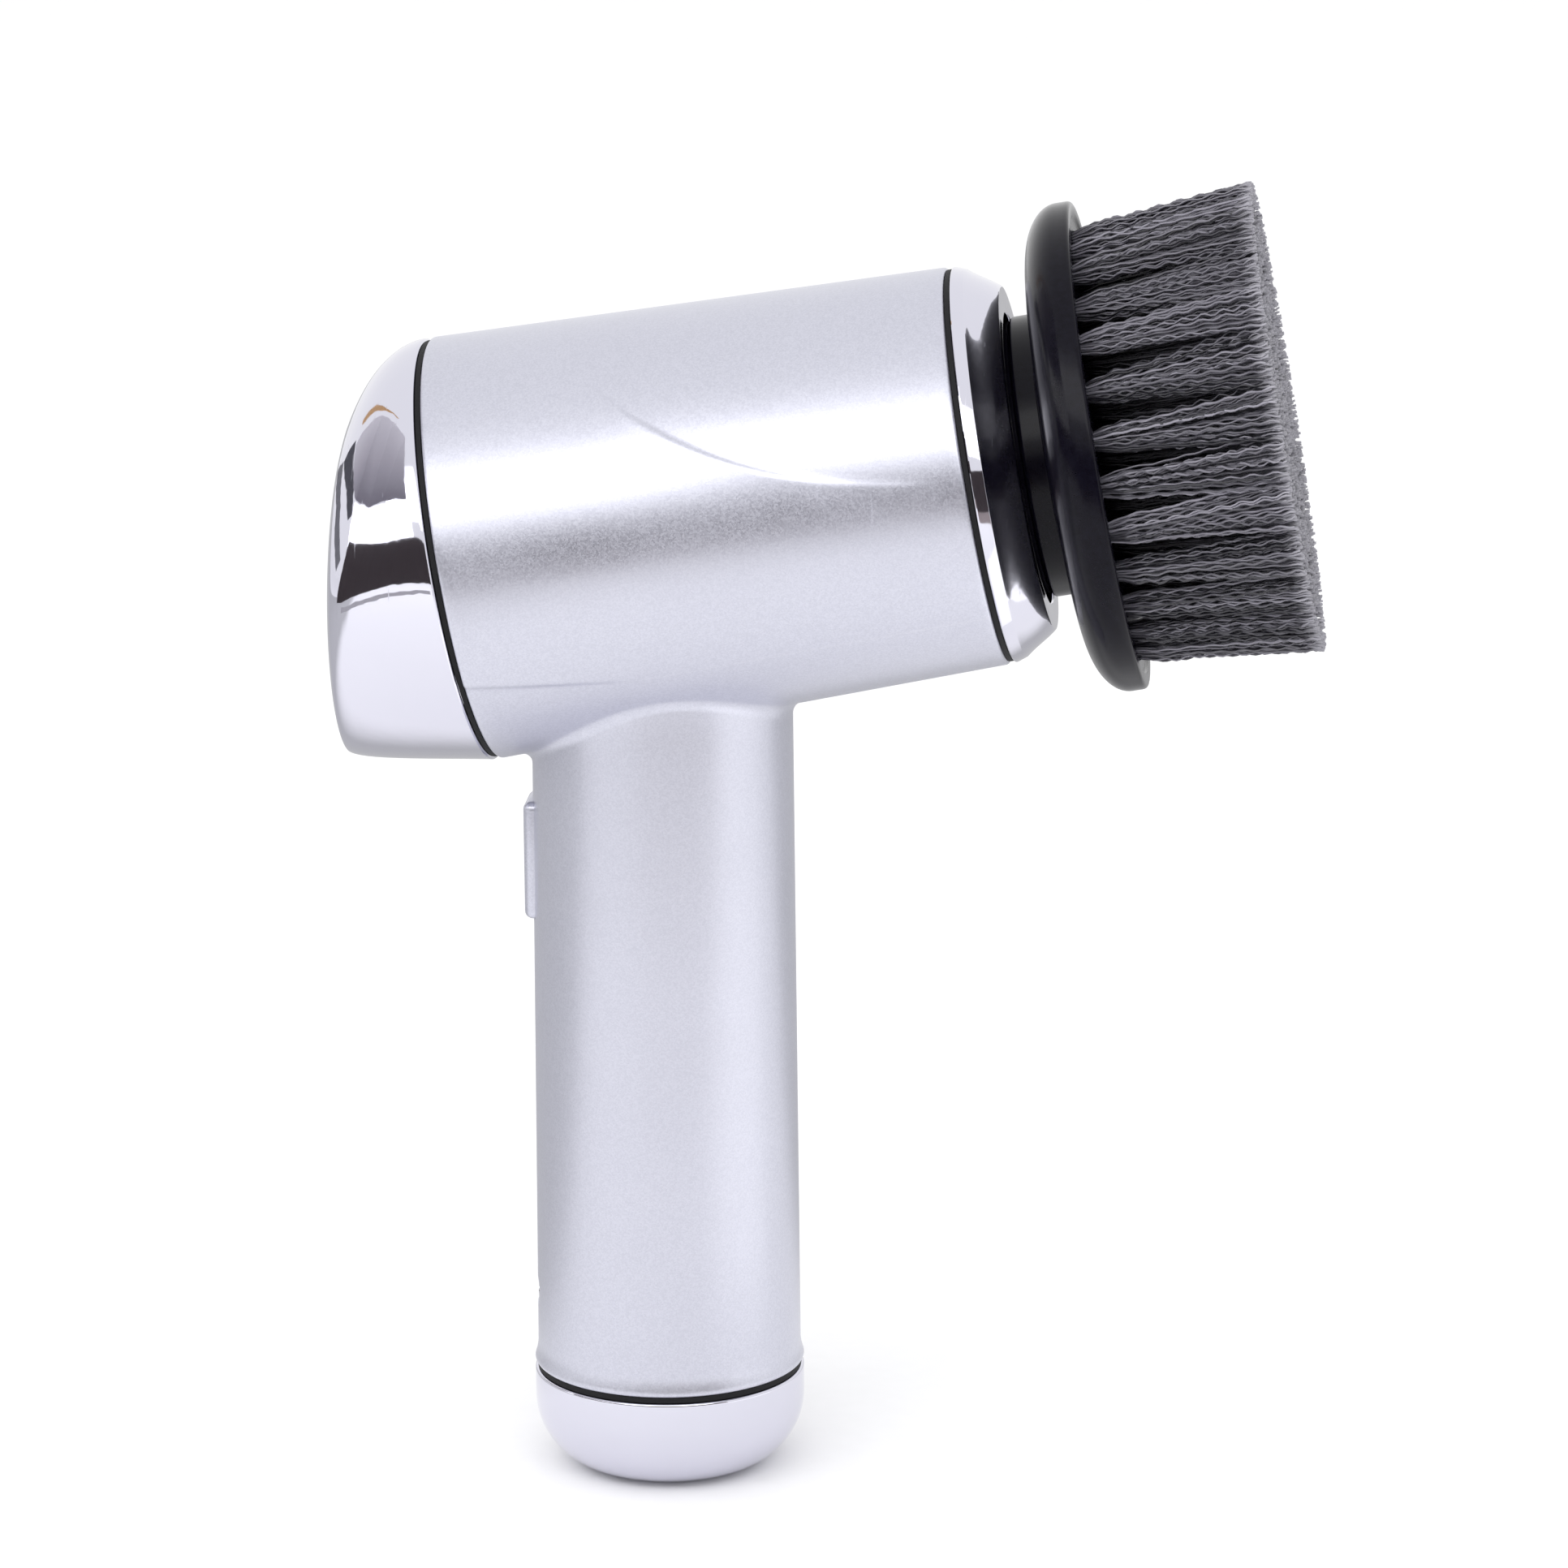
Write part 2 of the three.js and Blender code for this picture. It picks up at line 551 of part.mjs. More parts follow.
function arcPlate(inner, outer, span) {
  const half = THREE.MathUtils.degToRad(span / 2);
  const outline = new THREE.Shape();
  outline.absarc(0, 0, outer, -half, half);
  outline.absarc(0, 0, inner, half, -half, true);
  return outline;
}

function magnet() {
  const [inner, outer, from, to] = MAGNET;
  return prism(arcPlate(inner, outer, MAGNET_SPAN), from, to);
}

// Five-pole rotor, commutator and shaft
function armature() {
  const poles = 5;
  const stem = 1.6;
  const footWidth = 2 * ROTOR_RADIUS * Math.sin(Math.PI / poles) - 2;
  const [from, to] = ROTOR;
  const [commutatorRadius, commutatorFrom, commutatorTo] = COMMUTATOR;
  const shaft = turned([[0, MOTOR[0] - 4.6], [MOTOR_SHAFT_RADIUS, MOTOR[0] - 4.6],
    [MOTOR_SHAFT_RADIUS, commutatorFrom], [commutatorRadius, commutatorFrom],
    [commutatorRadius, commutatorTo], [MOTOR_SHAFT_RADIUS, commutatorTo],
    [MOTOR_SHAFT_RADIUS, SUN_FACE[1]], [0, SUN_FACE[1]]], SMALL);
  const stems = around(poles, 0, () =>
    block([ROTOR_RADIUS - 2, 2 * stem, to - from], [ROTOR_RADIUS / 2 - 0.6, 0, (from + to) / 2]));
  const windings = around(poles, 0, () =>
    block([4, 2.9 * stem, to - from + 4], [ROTOR_RADIUS - 4.6, 0, (from + to) / 2]));
  const footSpan = THREE.MathUtils.radToDeg(footWidth / ROTOR_RADIUS);
  const feet = around(poles, 0, () => prism(arcPlate(ROTOR_RADIUS - 2, ROTOR_RADIUS, footSpan), from, to));
  return geometryOf(join(shaft, ...stems, ...windings, ...feet));
}

// ---------------------------------------------------------------- brush head

function brushBackplate() {
  const [back, front] = DISC;
  const [across, along] = DISC_BACK_ROUND;
  const [hubInner, hubOuter] = HUB;
  const skirt = NECK_INNER_RADIUS - WALL;
  return turned([[skirt, HEAD_BACK], [NECK_INNER_RADIUS, HEAD_BACK], [NECK_INNER_RADIUS, NECK_STEP],
    [NECK_RADIUS, NECK_STEP], [NECK_RADIUS, back], [DISC_RADIUS - across, back],
    ...quarterRound([DISC_RADIUS - across, back + along], across, along, -70, 0, 4),
    ...quarterRound([DISC_RADIUS - DISC_FRONT_ROUND, front - DISC_FRONT_ROUND], DISC_FRONT_ROUND,
      DISC_FRONT_ROUND, 0, 90, 2),
    [0, front], [0, HUB_FRONT], [hubInner, HUB_FRONT], [hubInner, HUB_BACK], [hubOuter, HUB_BACK],
    [hubOuter, DISC_HOLLOW], [skirt, DISC_HOLLOW], [skirt, HEAD_BACK]], OUTSIDE);
}

// Hexagonal socket that slides on the output shaft
function hubSocket() {
  const outline = new THREE.Shape().absarc(0, 0, HUB_SOCKET_RADIUS, 0, 2 * Math.PI);
  const corners = Array.from({ length: 6 }, (_, i) => {
    const angle = Math.PI / 2 - (i * Math.PI) / 3;
    return new THREE.Vector2(Math.cos(angle), Math.sin(angle)).multiplyScalar(HEX_RADIUS + HEX_CLEARANCE);
  });
  outline.holes.push(new THREE.Path(corners));
  return prism(outline, HUB_BACK, HUB_FRONT - GAP);
}

function bristles() {
  return turned([[0, DISC[1] + GAP], [BRISTLE_BASE_RADIUS, DISC[1] + GAP],
    [BRISTLE_TIP_RADIUS, BRISTLE_TIP], [0, BRISTLE_TIP]], OUTSIDE);
}

// ---------------------------------------------------------------- handle's contents

function batteryTray() {
  const inner = CELL_RADIUS + GAP;
  const outer = inner + TRAY_WALL;
  const railEnd = BOARD[1] + 0.5 - CELL_FORWARD;
  const railOutside = inner - 0.2;
  const railInside = railOutside - TRAY_WALL;
  const outerTurn = Math.PI - Math.asin(railOutside / outer);
  const innerTurn = Math.PI - Math.asin(railInside / inner);
  const channel = new THREE.Shape();
  channel.moveTo(railEnd, railOutside);
  channel.absarc(0, 0, outer, outerTurn, -outerTurn, true);
  channel.lineTo(railEnd, -railOutside);
  channel.lineTo(railEnd, -railInside);
  channel.absarc(0, 0, inner, -innerTurn, innerTurn);
  channel.lineTo(railEnd, railInside);
  const floor = rod(outer - 0.1, TRAY_BOTTOM, CELL[0] - GAP, INSIDE);
  return geometryOf(join(prism(channel, TRAY_BOTTOM, CELL[1]), floor)).translate(CELL_FORWARD, 0, 0);
}

function batteryCell() {
  const [from, to] = CELL;
  const [grooveFrom, grooveTo, grooveDepth] = CELL_GROOVE;
  const [capRadius, capHeight] = CELL_CAP;
  const bottom = CELL_RADIUS - grooveDepth;
  return turned([[0, from], [CELL_RADIUS, from], [CELL_RADIUS, to - grooveFrom],
    [bottom, to - grooveFrom + grooveDepth / 2], [bottom, to - grooveTo - grooveDepth / 2],
    [CELL_RADIUS, to - grooveTo], [CELL_RADIUS, to - capHeight], [capRadius, to - capHeight],
    [capRadius, to], [0, to]]).translate(CELL_FORWARD, 0, 0);
}

function controlBoard() {
  const [rear, front] = BOARD;
  const [bottom, top] = BOARD_HEIGHT;
  const middle = (rear + front) / 2;
  const board = block([front - rear, BOARD_WIDTH, top - bottom], [middle, 0, (bottom + top) / 2]);
  const chips = CHIPS.map(([wide, tall, up]) =>
    block([2 * CHIP_THICKNESS, wide, tall], [front, 0, up]));
  return geometryOf(join(board, ...chips));
}

function tactSwitch() {
  const seat = BOARD[0] - GAP;
  const height = (BUTTON[0] + BUTTON[1]) / 2;
  const [width, depth] = TACT_SWITCH;
  const body = block([depth, width, width], [seat - depth / 2, 0, height]);
  const plunger = rod(...PLUNGER).rotateY(-Math.PI / 2).translate(seat, 0, height);
  return geometryOf(join(body, plunger));
}

function powerButton() {
  const [low, high] = BUTTON;
  const middle = (low + high) / 2;
  const [flangeOut, flangeIn] = BUTTON_FLANGE;
  const outside = GRIP_TOP_RADIUS + BUTTON_PROUD;
  const cap = prism(roundedRectangle(high - low, BUTTON_WIDTH, 1.4), -flangeOut - 0.2, outside - 0.6);
  const crown = prism(roundedRectangle(high - low - 1.2, BUTTON_WIDTH - 1.2, 1), outside - 1, outside);
  const flange = prism(roundedRectangle(high - low + 2, BUTTON_WIDTH + 2, 1.4), -flangeIn, -flangeOut);
  return geometryOf(join(cap, crown, flange)).rotateY(-Math.PI / 2).translate(0, 0, middle);
}

// Metal shell with a contact tongue, open to the rear of the handle
function chargingPort() {
  const [outside, inside] = PORT_DEPTH;
  const [width, height] = PORT;
  const skin = 0.35;
  const depth = inside - outside;
  const shell = prism(roundedRectangle(width, height, height / 2 - 0.05), 0, depth);
  const mouth = prism(roundedRectangle(width - 2 * skin, height - 2 * skin, height / 2 - 0.4), 1, depth + PAST);
  const tongue = block([width - 2.6, 0.7, depth - 1.2], [0, 0, (depth - 1.2) / 2 + 0.5]);
  return geometryOf(cut(solid(shell), mouth).add(solid(tongue)))
    .rotateX(Math.PI / 2).rotateZ(-Math.PI / 2).translate(inside, 0, PORT_HEIGHT);
}

// Insulated wire through a list of points, on the +Y side or its mirror
function lead(points, side) {
  const route = new THREE.CatmullRomCurve3(points.map(([x, y, z]) => new THREE.Vector3(x, side * y, z)));
  const section = new THREE.Shape().absarc(0, 0, LEAD_RADIUS, 0, 2 * Math.PI);
  return new THREE.ExtrudeGeometry(section,
    { extrudePath: route, steps: 14, curveSegments: 4, bevelEnabled: false });
}

// ---------------------------------------------------------------- assembly

place(assembly, 'body_shell', bodyShell(), 'silver');
place(assembly, 'handle_end_cap', endCap(), 'plated');
place(assembly, 'handle_seam_ring', seamRing(SEAM_RADIUS, SEAM, HANDLE_SEAM_RING), 'rubber');
place(assembly, 'power_button', powerButton(), 'silver');
place(assembly, 'tact_switch', tactSwitch(), 'blackPlastic');
place(assembly, 'control_board', controlBoard(), 'board');
place(assembly, 'charging_port', chargingPort(), 'steel');
place(assembly, 'battery_tray', batteryTray(), 'blackPlastic');
place(assembly, 'battery_cell', batteryCell(), 'cell');
place(assembly, 'battery_lead_plus', lead(BATTERY_LEAD, 1), 'redWire');
place(assembly, 'battery_lead_minus', lead(BATTERY_LEAD, -1), 'blackWire');
place(assembly, 'motor_lead_plus', lead(MOTOR_LEAD, 1), 'redWire');
place(assembly, 'motor_lead_minus', lead(MOTOR_LEAD, -1), 'blackWire');

place(barrel, 'rear_cap', rearCap(), 'plated');
place(barrel, 'rear_seam_ring', seamRing(REAR_RADIUS, REAR_SEAM, SEAM_RING), 'rubber');
place(barrel, 'front_collar', frontCollar(), 'plated');
place(barrel, 'front_seam_ring', seamRing(FRONT_RADIUS, FRONT_SEAM, SEAM_RING), 'rubber');

place(barrel, 'motor_can', motorCan(), 'steel');
place(barrel, 'motor_end_bell', motorEndBell(), 'whitePlastic');
place(barrel, 'motor_armature', armature(), 'copper');
['lower', 'upper'].forEach((name, i) => {
  place(barrel, `motor_magnet_${name}`, magnet(), 'magnet').rotation.z = i * Math.PI;
});
[1, 2].forEach((number) => {
  const motorScrew = screw(GEARBOX[0] + GEARBOX_REAR_WALL + GAP, 5, 1);
  const side = number === 1 ? MOTOR_SCREW_ORBIT : -MOTOR_SCREW_ORBIT;
  place(barrel, `motor_screw_${number}`, motorScrew, 'steel').position.y = side;
});

place(barrel, 'gearbox_housing', gearboxHousing(), 'castGrey');
place(barrel, 'gearbox_front_plate', gearboxFrontPlate(), 'castGrey');
place(barrel, 'sun_pinion', sunPinion(), 'brass');
place(barrel, 'planet_carrier', planetCarrier(), 'steel');
for (let i = 0; i < PLANETS; i += 1) {
  const post = new THREE.Group();
  post.rotation.z = (2 * Math.PI * i) / PLANETS;
  barrel.add(post);
  place(post, `planet_gear_${i + 1}`, planetGear(), 'whitePlastic').position.x = PLANET_ORBIT;
  place(post, `planet_pin_${i + 1}`, planetPin(), 'steel').position.x = PLANET_ORBIT;
}
place(barrel, 'output_shaft', outputShaft(), 'steel');
place(barrel, 'rear_bearing', bearing(REAR_BEARING), 'steel');
place(barrel, 'front_bearing', bearing(FRONT_BEARING), 'steel');
place(barrel, 'shaft_seal', shaftSeal(), 'rubber');
for (let i = 0; i < EARS; i += 1) {
  const spoke = new THREE.Group();
  spoke.rotation.z = THREE.MathUtils.degToRad(60 + (360 * i) / EARS);
  barrel.add(spoke);
  place(spoke, `drive_screw_${i + 1}`, screw(BULKHEAD[1] + GAP, 12), 'steel').position.x = EAR_ORBIT;
}

place(barrel, 'brush_backplate', brushBackplate(), 'blackPlastic');
place(barrel, 'hub_socket', hubSocket(), 'brass');
place(barrel, 'bristles', bristles(), 'bristle');

export default assembly;
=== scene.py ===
import json
from math import acos, atan2, cos, exp, pi, radians, sin, tan

import bmesh
import bpy
import numpy as np
from mathutils import Matrix, Vector


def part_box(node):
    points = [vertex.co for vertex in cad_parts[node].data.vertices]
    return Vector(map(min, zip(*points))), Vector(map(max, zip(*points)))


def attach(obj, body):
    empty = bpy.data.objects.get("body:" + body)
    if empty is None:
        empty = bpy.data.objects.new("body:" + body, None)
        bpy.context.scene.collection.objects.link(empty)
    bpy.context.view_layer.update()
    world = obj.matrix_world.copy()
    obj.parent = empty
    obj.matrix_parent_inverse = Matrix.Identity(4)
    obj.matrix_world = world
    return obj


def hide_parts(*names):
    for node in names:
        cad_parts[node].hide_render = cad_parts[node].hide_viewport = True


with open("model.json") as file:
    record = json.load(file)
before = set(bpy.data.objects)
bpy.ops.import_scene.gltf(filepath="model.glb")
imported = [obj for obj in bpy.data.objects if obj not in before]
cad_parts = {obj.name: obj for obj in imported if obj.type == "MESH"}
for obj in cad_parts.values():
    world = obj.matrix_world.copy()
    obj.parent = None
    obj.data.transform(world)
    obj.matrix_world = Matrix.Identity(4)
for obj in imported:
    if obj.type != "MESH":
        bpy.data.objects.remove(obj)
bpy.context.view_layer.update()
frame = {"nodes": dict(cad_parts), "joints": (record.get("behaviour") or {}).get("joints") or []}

mm = 0.001
scene = bpy.context.scene

# ---------------------------------------------------------------- camera
# A long lens about a metre away, a little above the barrel and just forward of the
# tool's side, so that the barrel and the handle both show nearly square.

look_at = Vector((16.44, 0, 96.66)) * mm
camera_distance = 921.5 * mm
camera_turn, camera_rise, camera_roll = radians(4.628), radians(13.962), radians(-0.415)


def towards(azimuth, elevation):
    """The direction at an azimuth round from -Y and an elevation above level, both in radians."""
    return Vector((sin(azimuth) * cos(elevation), -cos(azimuth) * cos(elevation), sin(elevation)))


backwards = towards(camera_turn, camera_rise)
level = Vector((cos(camera_turn), sin(camera_turn), 0))
upright = backwards.cross(level)
across = level * cos(camera_roll) + upright * sin(camera_roll)
camera = bpy.data.objects.new("camera", bpy.data.cameras.new("camera"))
camera.data.sensor_width, camera.data.lens = 36, 156.1
camera.data.clip_start, camera.data.clip_end = 0.05, 60
camera.matrix_world = Matrix.Translation(look_at + backwards * camera_distance) @ Matrix(
    (across, backwards.cross(across), backwards)).transposed().to_4x4()
scene.collection.objects.link(camera)
scene.camera = camera

# ---------------------------------------------------------------- body shell
# One T-shaped ABS moulding, the barrel's cone and the handle in one piece, cored from its
# three open ends. Sprayed silver, with a soft swept crease along each side of the barrel
# and a small fillet where the handle grows out of it.

spin = next(joint for joint in frame["joints"] if joint["name"] == "brush_spin")
axle_point = Vector(spin["pos_m"])
forward = Vector(spin["axis"]).normalized()
left = Vector((0, 1, 0))
barrel_up = forward.cross(left)


def on_barrel(along, angle, radius):
    """A point by its place along the barrel's axis and its angle from the top towards the right side."""
    return axle_point + forward * along + (barrel_up * cos(angle) - left * sin(angle)) * radius


def barrel_reach(node):
    """Rear end, front end and widest radius of a CAD node about the barrel's axis."""
    offsets = [vertex.co - axle_point for vertex in frame["nodes"][node].data.vertices]
    along = [offset.dot(forward) for offset in offsets]
    return min(along), max(along), max((o - forward * a).length for o, a in zip(offsets, along))


rear_ring = barrel_reach("rear_seam_ring")
front_ring = barrel_reach("front_seam_ring")
seam_gap = 0.15 * mm
shell_rear, shell_front = rear_ring[1] + seam_gap, front_ring[0] - seam_gap
cap_front, collar_rear = rear_ring[0] - seam_gap, front_ring[1] + seam_gap
rear_radius, front_radius = barrel_reach("rear_cap")[2], barrel_reach("front_collar")[2]
ring_low, ring_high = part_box("handle_seam_ring")
shell_bottom = ring_high.z + seam_gap
foot_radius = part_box("handle_end_cap")[1].y
wall = 2.2 * mm
edge_ease, edge_steps = 0.45 * mm, 4
grip_radius, grip_top_radius, grip_top = 18.15 * mm, 17.7 * mm, 90 * mm
flare = 3 * mm
fillet_radius, rear_thinning = 2.6 * mm, 1.2 * mm
crease_height, crease_width = 0.24 * mm, 0.55 * mm
lower_crease_factor = 1.6


def cone_radius(along):
    return rear_radius + (front_radius - rear_radius) * (along - cap_front) / (collar_rear - cap_front)


def upper_crease(along):
    """Angle of the upper crease, which sweeps down and forward from the top of the side."""
    return radians(87 - 39.7 * exp(-max(along, -5 * mm) / (19 * mm)))


def lower_crease(along):
    """Angle of the lower crease, which runs back almost level above the handle."""
    return radians(119 + 390 * (min(along, -3 * mm) + 25 * mm))


def ramp(value, start, end):
    """A smooth rise from 0 at start to 1 at end."""
    t = min(max((value - start) / (end - start), 0), 1)
    return t * t * (3 - 2 * t)


def crease_relief(along, angle):
    """How far the barrel's skin stands proud of its cone beside the two creases."""
    radius = cone_radius(along)
    below_upper = (angle - upper_crease(along)) * radius
    below_lower = (angle - lower_crease(along)) * radius
    upper = ramp(along, -5 * mm, 6 * mm)
    upper *= 1 - 0.75 * ramp(along, 18 * mm, 32 * mm)
    upper *= 1 - ramp(along, 34 * mm, 41 * mm)
    lower = 1 - ramp(along, -20 * mm, -2 * mm)
    return crease_height * (
        upper * ramp(below_upper, -crease_width, crease_width) * exp(-max(below_upper, 0) / (5 * mm))
        + lower_crease_factor * lower * (1 - ramp(below_lower, -crease_width, crease_width))
        * exp(min(below_lower, 0) / (7 * mm)))


def drawn_together(start, middle, end, before, after, pull=1.7):
    """Steps from start to end that crowd together round the middle."""
    steps = [middle - (middle - start) * (1 - i / before) ** pull for i in range(before)]
    return steps + [middle + (end - middle) * (i / after) ** pull for i in range(after)]


top_angle, side_angle = radians(24), radians(100)
patch_angle = radians(128)  # the skin below this angle is gathered round the handle
patch_reach = 24 * mm
top_steps, upper_steps, lower_steps = 8, (18, 16), (12, 6)
patch_columns, patch_rows, front_rows = 36, 50, 26


def skin_angles(along):
    """Angles of the skin's columns at one place along the barrel, once round from the top."""
    side = [top_angle * i / top_steps for i in range(top_steps)]
    side += drawn_together(top_angle, upper_crease(along), side_angle, *upper_steps)
    side += drawn_together(side_angle, lower_crease(along), patch_angle, *lower_steps)
    below = [patch_angle + (2 * pi - 2 * patch_angle) * i / patch_columns for i in range(patch_columns)]
    return side + below + [2 * pi - patch_angle] + [2 * pi - angle for angle in reversed(side[1:])]


def eased_end(end, inwards):
    """Rows that round off an open edge, as (place, how much lower the surface is)."""
    turns = [pi / 2 * i / edge_steps for i in range(edge_steps + 1)]
    return [(end + inwards * edge_ease * (1 - cos(turn)), edge_ease * (1 - sin(turn))) for turn in turns]


def skin_of_barrel(handle_axis_along):
    """Vertices and faces of the barrel's skin, and the loop of vertices round the handle's patch."""
    patch_front = handle_axis_along + patch_reach
    full_rear, full_front = shell_rear + edge_ease, shell_front - edge_ease
    middle = [full_rear + (patch_front - full_rear) * i / patch_rows for i in range(patch_rows + 1)]
    ahead = [patch_front + (full_front - patch_front) * i / front_rows for i in range(1, front_rows + 1)]
    rows = eased_end(shell_rear, 1)[:-1] + [(along, 0) for along in middle + ahead]
    rows += eased_end(shell_front, -1)[:-1][::-1]
    first, last = edge_steps, edge_steps + patch_rows
    columns = len(skin_angles(0))
    start = top_steps + sum(upper_steps) + sum(lower_steps)
    vertices = []
    for along, drop in rows:
        for angle in skin_angles(along):
            turned_down = min(angle, 2 * pi - angle)
            height = crease_relief(along, turned_down) - drop
            vertices.append(on_barrel(along, angle, cone_radius(along) + height))
    faces = []
    for i in range(len(rows) - 1):
        for j in range(columns):
            if first <= i < last and start <= j < start + patch_columns:
                continue
            k = (j + 1) % columns
            faces.append((i * columns + j, i * columns + k, (i + 1) * columns + k, (i + 1) * columns + j))
    loop = [(i, start) for i in range(first, last)] + [(last, j) for j in range(start, start + patch_columns)]
    loop += [(i, start + patch_columns) for i in range(last, first, -1)]
    loop += [(first, j) for j in range(start + patch_columns, start, -1)]
    return vertices, faces, [(i * columns + j, rows[i][0], skin_angles(rows[i][0])[j]) for i, j in loop]


def new_piece(name, vertices, faces, material=None):
    mesh = bpy.data.meshes.new(name)
    mesh.from_pydata([tuple(v) for v in vertices], [], faces)
    piece = bpy.data.objects.new(name, mesh)
    scene.collection.objects.link(piece)
    if material:
        mesh.materials.append(material)
    return piece


def finished(piece, sharp=35):
    """Applies the piece's modifiers, drops what they left unused, and sets its edges smooth or sharp."""
    solid = bpy.data.meshes.new_from_object(piece.evaluated_get(bpy.context.evaluated_depsgraph_get()))
    piece.modifiers.clear()
    shape = bmesh.new()
    shape.from_mesh(solid)
    bmesh.ops.remove_doubles(shape, verts=shape.verts, dist=1e-7)
    bmesh.ops.recalc_face_normals(shape, faces=shape.faces)
    for face in shape.faces:
        face.smooth = True
    shape.to_mesh(solid)
    shape.free()
    solid.set_sharp_from_angle(angle=radians(sharp))
    piece.data = solid
    return piece


def body_shell():
    """The barrel's skin, drawn in round the handle, down a fillet and along the grip to its foot."""
    handle_axis_along = -cone_radius(0) * forward.z / forward.x
    vertices, faces, loop = skin_of_barrel(handle_axis_along)
    gather_steps, fillet_steps, grip_rows, flare_steps = 7, 8, 26, 6

    def grip(height):
        return grip_radius + (grip_top_radius - grip_radius) * (height - shell_bottom - flare) / (
            grip_top - shell_bottom)

    columns = []
    for corner, along, angle in loop:
        turn = atan2((angle - pi) * cone_radius(along), along - handle_axis_along)
        fillet = fillet_radius - rear_thinning * ramp(-cos(turn), 0.2, 0.95)
        reach = grip_top_radius + fillet
        low, high = 80 * mm, 115 * mm
        for _ in range(40):  # height at which a ball of the fillet's radius touches both surfaces
            height = (low + high) / 2
            centre = Vector((reach * cos(turn), reach * sin(turn), height))
            offset = centre - axle_point
            ahead = offset.dot(forward)
            away = offset - forward * ahead
            low, high = (height, high) if away.length > cone_radius(ahead) + fillet else (low, height)
        to_grip, to_barrel = Vector((-cos(turn), -sin(turn), 0)), -away.normalized()
        touch = centre + to_barrel * fillet - axle_point
        touch_along = touch.dot(forward)
        touch_angle = atan2(-touch.dot(left), touch.dot(barrel_up)) % (2 * pi)
        column = [corner]
        for i in range(1, gather_steps + 1):  # from the patch's edge in to the fillet, along the cone
            t = (i / gather_steps) ** 0.8
            place, direction = along + (touch_along - along) * t, angle + (touch_angle - angle) * t
            vertices.append(on_barrel(place, direction, cone_radius(place)))
            column.append(len(vertices) - 1)
        bend = acos(max(-1, min(1, to_barrel.dot(to_grip))))
        for i in range(1, fillet_steps + 1):  # round the fillet
            part = i / fillet_steps
            spoke = (to_barrel * sin((1 - part) * bend) + to_grip * sin(part * bend)) / sin(bend)
            vertices.append(centre + spoke * fillet)
            column.append(len(vertices) - 1)
        foot = shell_bottom + flare
        profile = [height + (foot - height) * i / grip_rows for i in range(1, grip_rows + 1)]
        narrower = grip_top_radius - grip(height)
        rings = [(h, grip(h) + narrower * (h - foot) / (height - foot)) for h in profile]
        for i in range(1, flare_steps + 1):
            fall = i / flare_steps
            flared = grip_radius + (foot_radius - grip_radius) * fall ** 2
            rings.append((foot - (flare - edge_ease) * fall, flared))
        rings += [(h, foot_radius - drop) for h, drop in eased_end(shell_bottom, 1)[:-1][::-1]]
        for level_height, radius in rings:
            vertices.append(Vector((radius * cos(turn), radius * sin(turn), level_height)))
            column.append(len(vertices) - 1)
        columns.append(column)
    for here, there in zip(columns, columns[1:] + columns[:1]):
        for i in range(len(here) - 1):
            faces.append((here[i], here[i + 1], there[i + 1], there[i]))
    shell = new_piece("silver_body_shell", vertices, faces)
    shape = bmesh.new()
    shape.from_mesh(shell.data)
    bmesh.ops.recalc_face_normals(shape, faces=shape.faces)
    shape.to_mesh(shell.data)
    shape.free()
    thick = shell.modifiers.new("wall", "SOLIDIFY")
    thick.thickness, thick.offset = wall, -1
    return shell


def rounded_block(name, size, centre, ease, segments=3):
    """A rounded cutter or moulding, as wide as size says along each axis."""
    shape = bmesh.new()
    bmesh.ops.create_cube(shape, size=1)
    bmesh.ops.scale(shape, vec=size, verts=shape.verts)
    bmesh.ops.bevel(shape, geom=shape.edges[:], offset=ease, segments=segments, profile=0.5, affect="EDGES")
    bmesh.ops.translate(shape, vec=centre, verts=shape.verts)
    mesh = bpy.data.meshes.new(name)
    shape.to_mesh(mesh)
    shape.free()
    block = bpy.data.objects.new(name, mesh)
    scene.collection.objects.link(block)
    return block


def cut_away(piece, tools):
    """Cuts the tools out of the piece and throws them away."""
    for tool in tools:
        cut = piece.modifiers.new("cut", "BOOLEAN")
        cut.operation, cut.solver, cut.object = "DIFFERENCE", "EXACT", tool
    finished(piece)
    for tool in tools:
        bpy.data.objects.remove(tool)


button_low, button_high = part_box("power_button")
port_low, port_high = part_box("charging_port")
button_height = (button_low.z + button_high.z) / 2
button_width, button_length = 8.4 * mm, 16.4 * mm
port_width, port_length = port_high.y - port_low.y, port_high.z - port_low.z
port_height = (port_low.z + port_high.z) / 2
rear_wall, cut_depth, cut_play = -19 * mm, 8 * mm, 0.5 * mm

shell = body_shell()
finished(shell)
cut_away(shell, [
    rounded_block("button_cut", (cut_depth, button_width + cut_play, button_length + cut_play),
                  (rear_wall, 0, button_height), 1.4 * mm, 4),
    rounded_block("port_cut", (cut_depth, port_width + cut_play, port_length + cut_play),
                  (rear_wall, 0, port_height), 1.7 * mm, 5)])


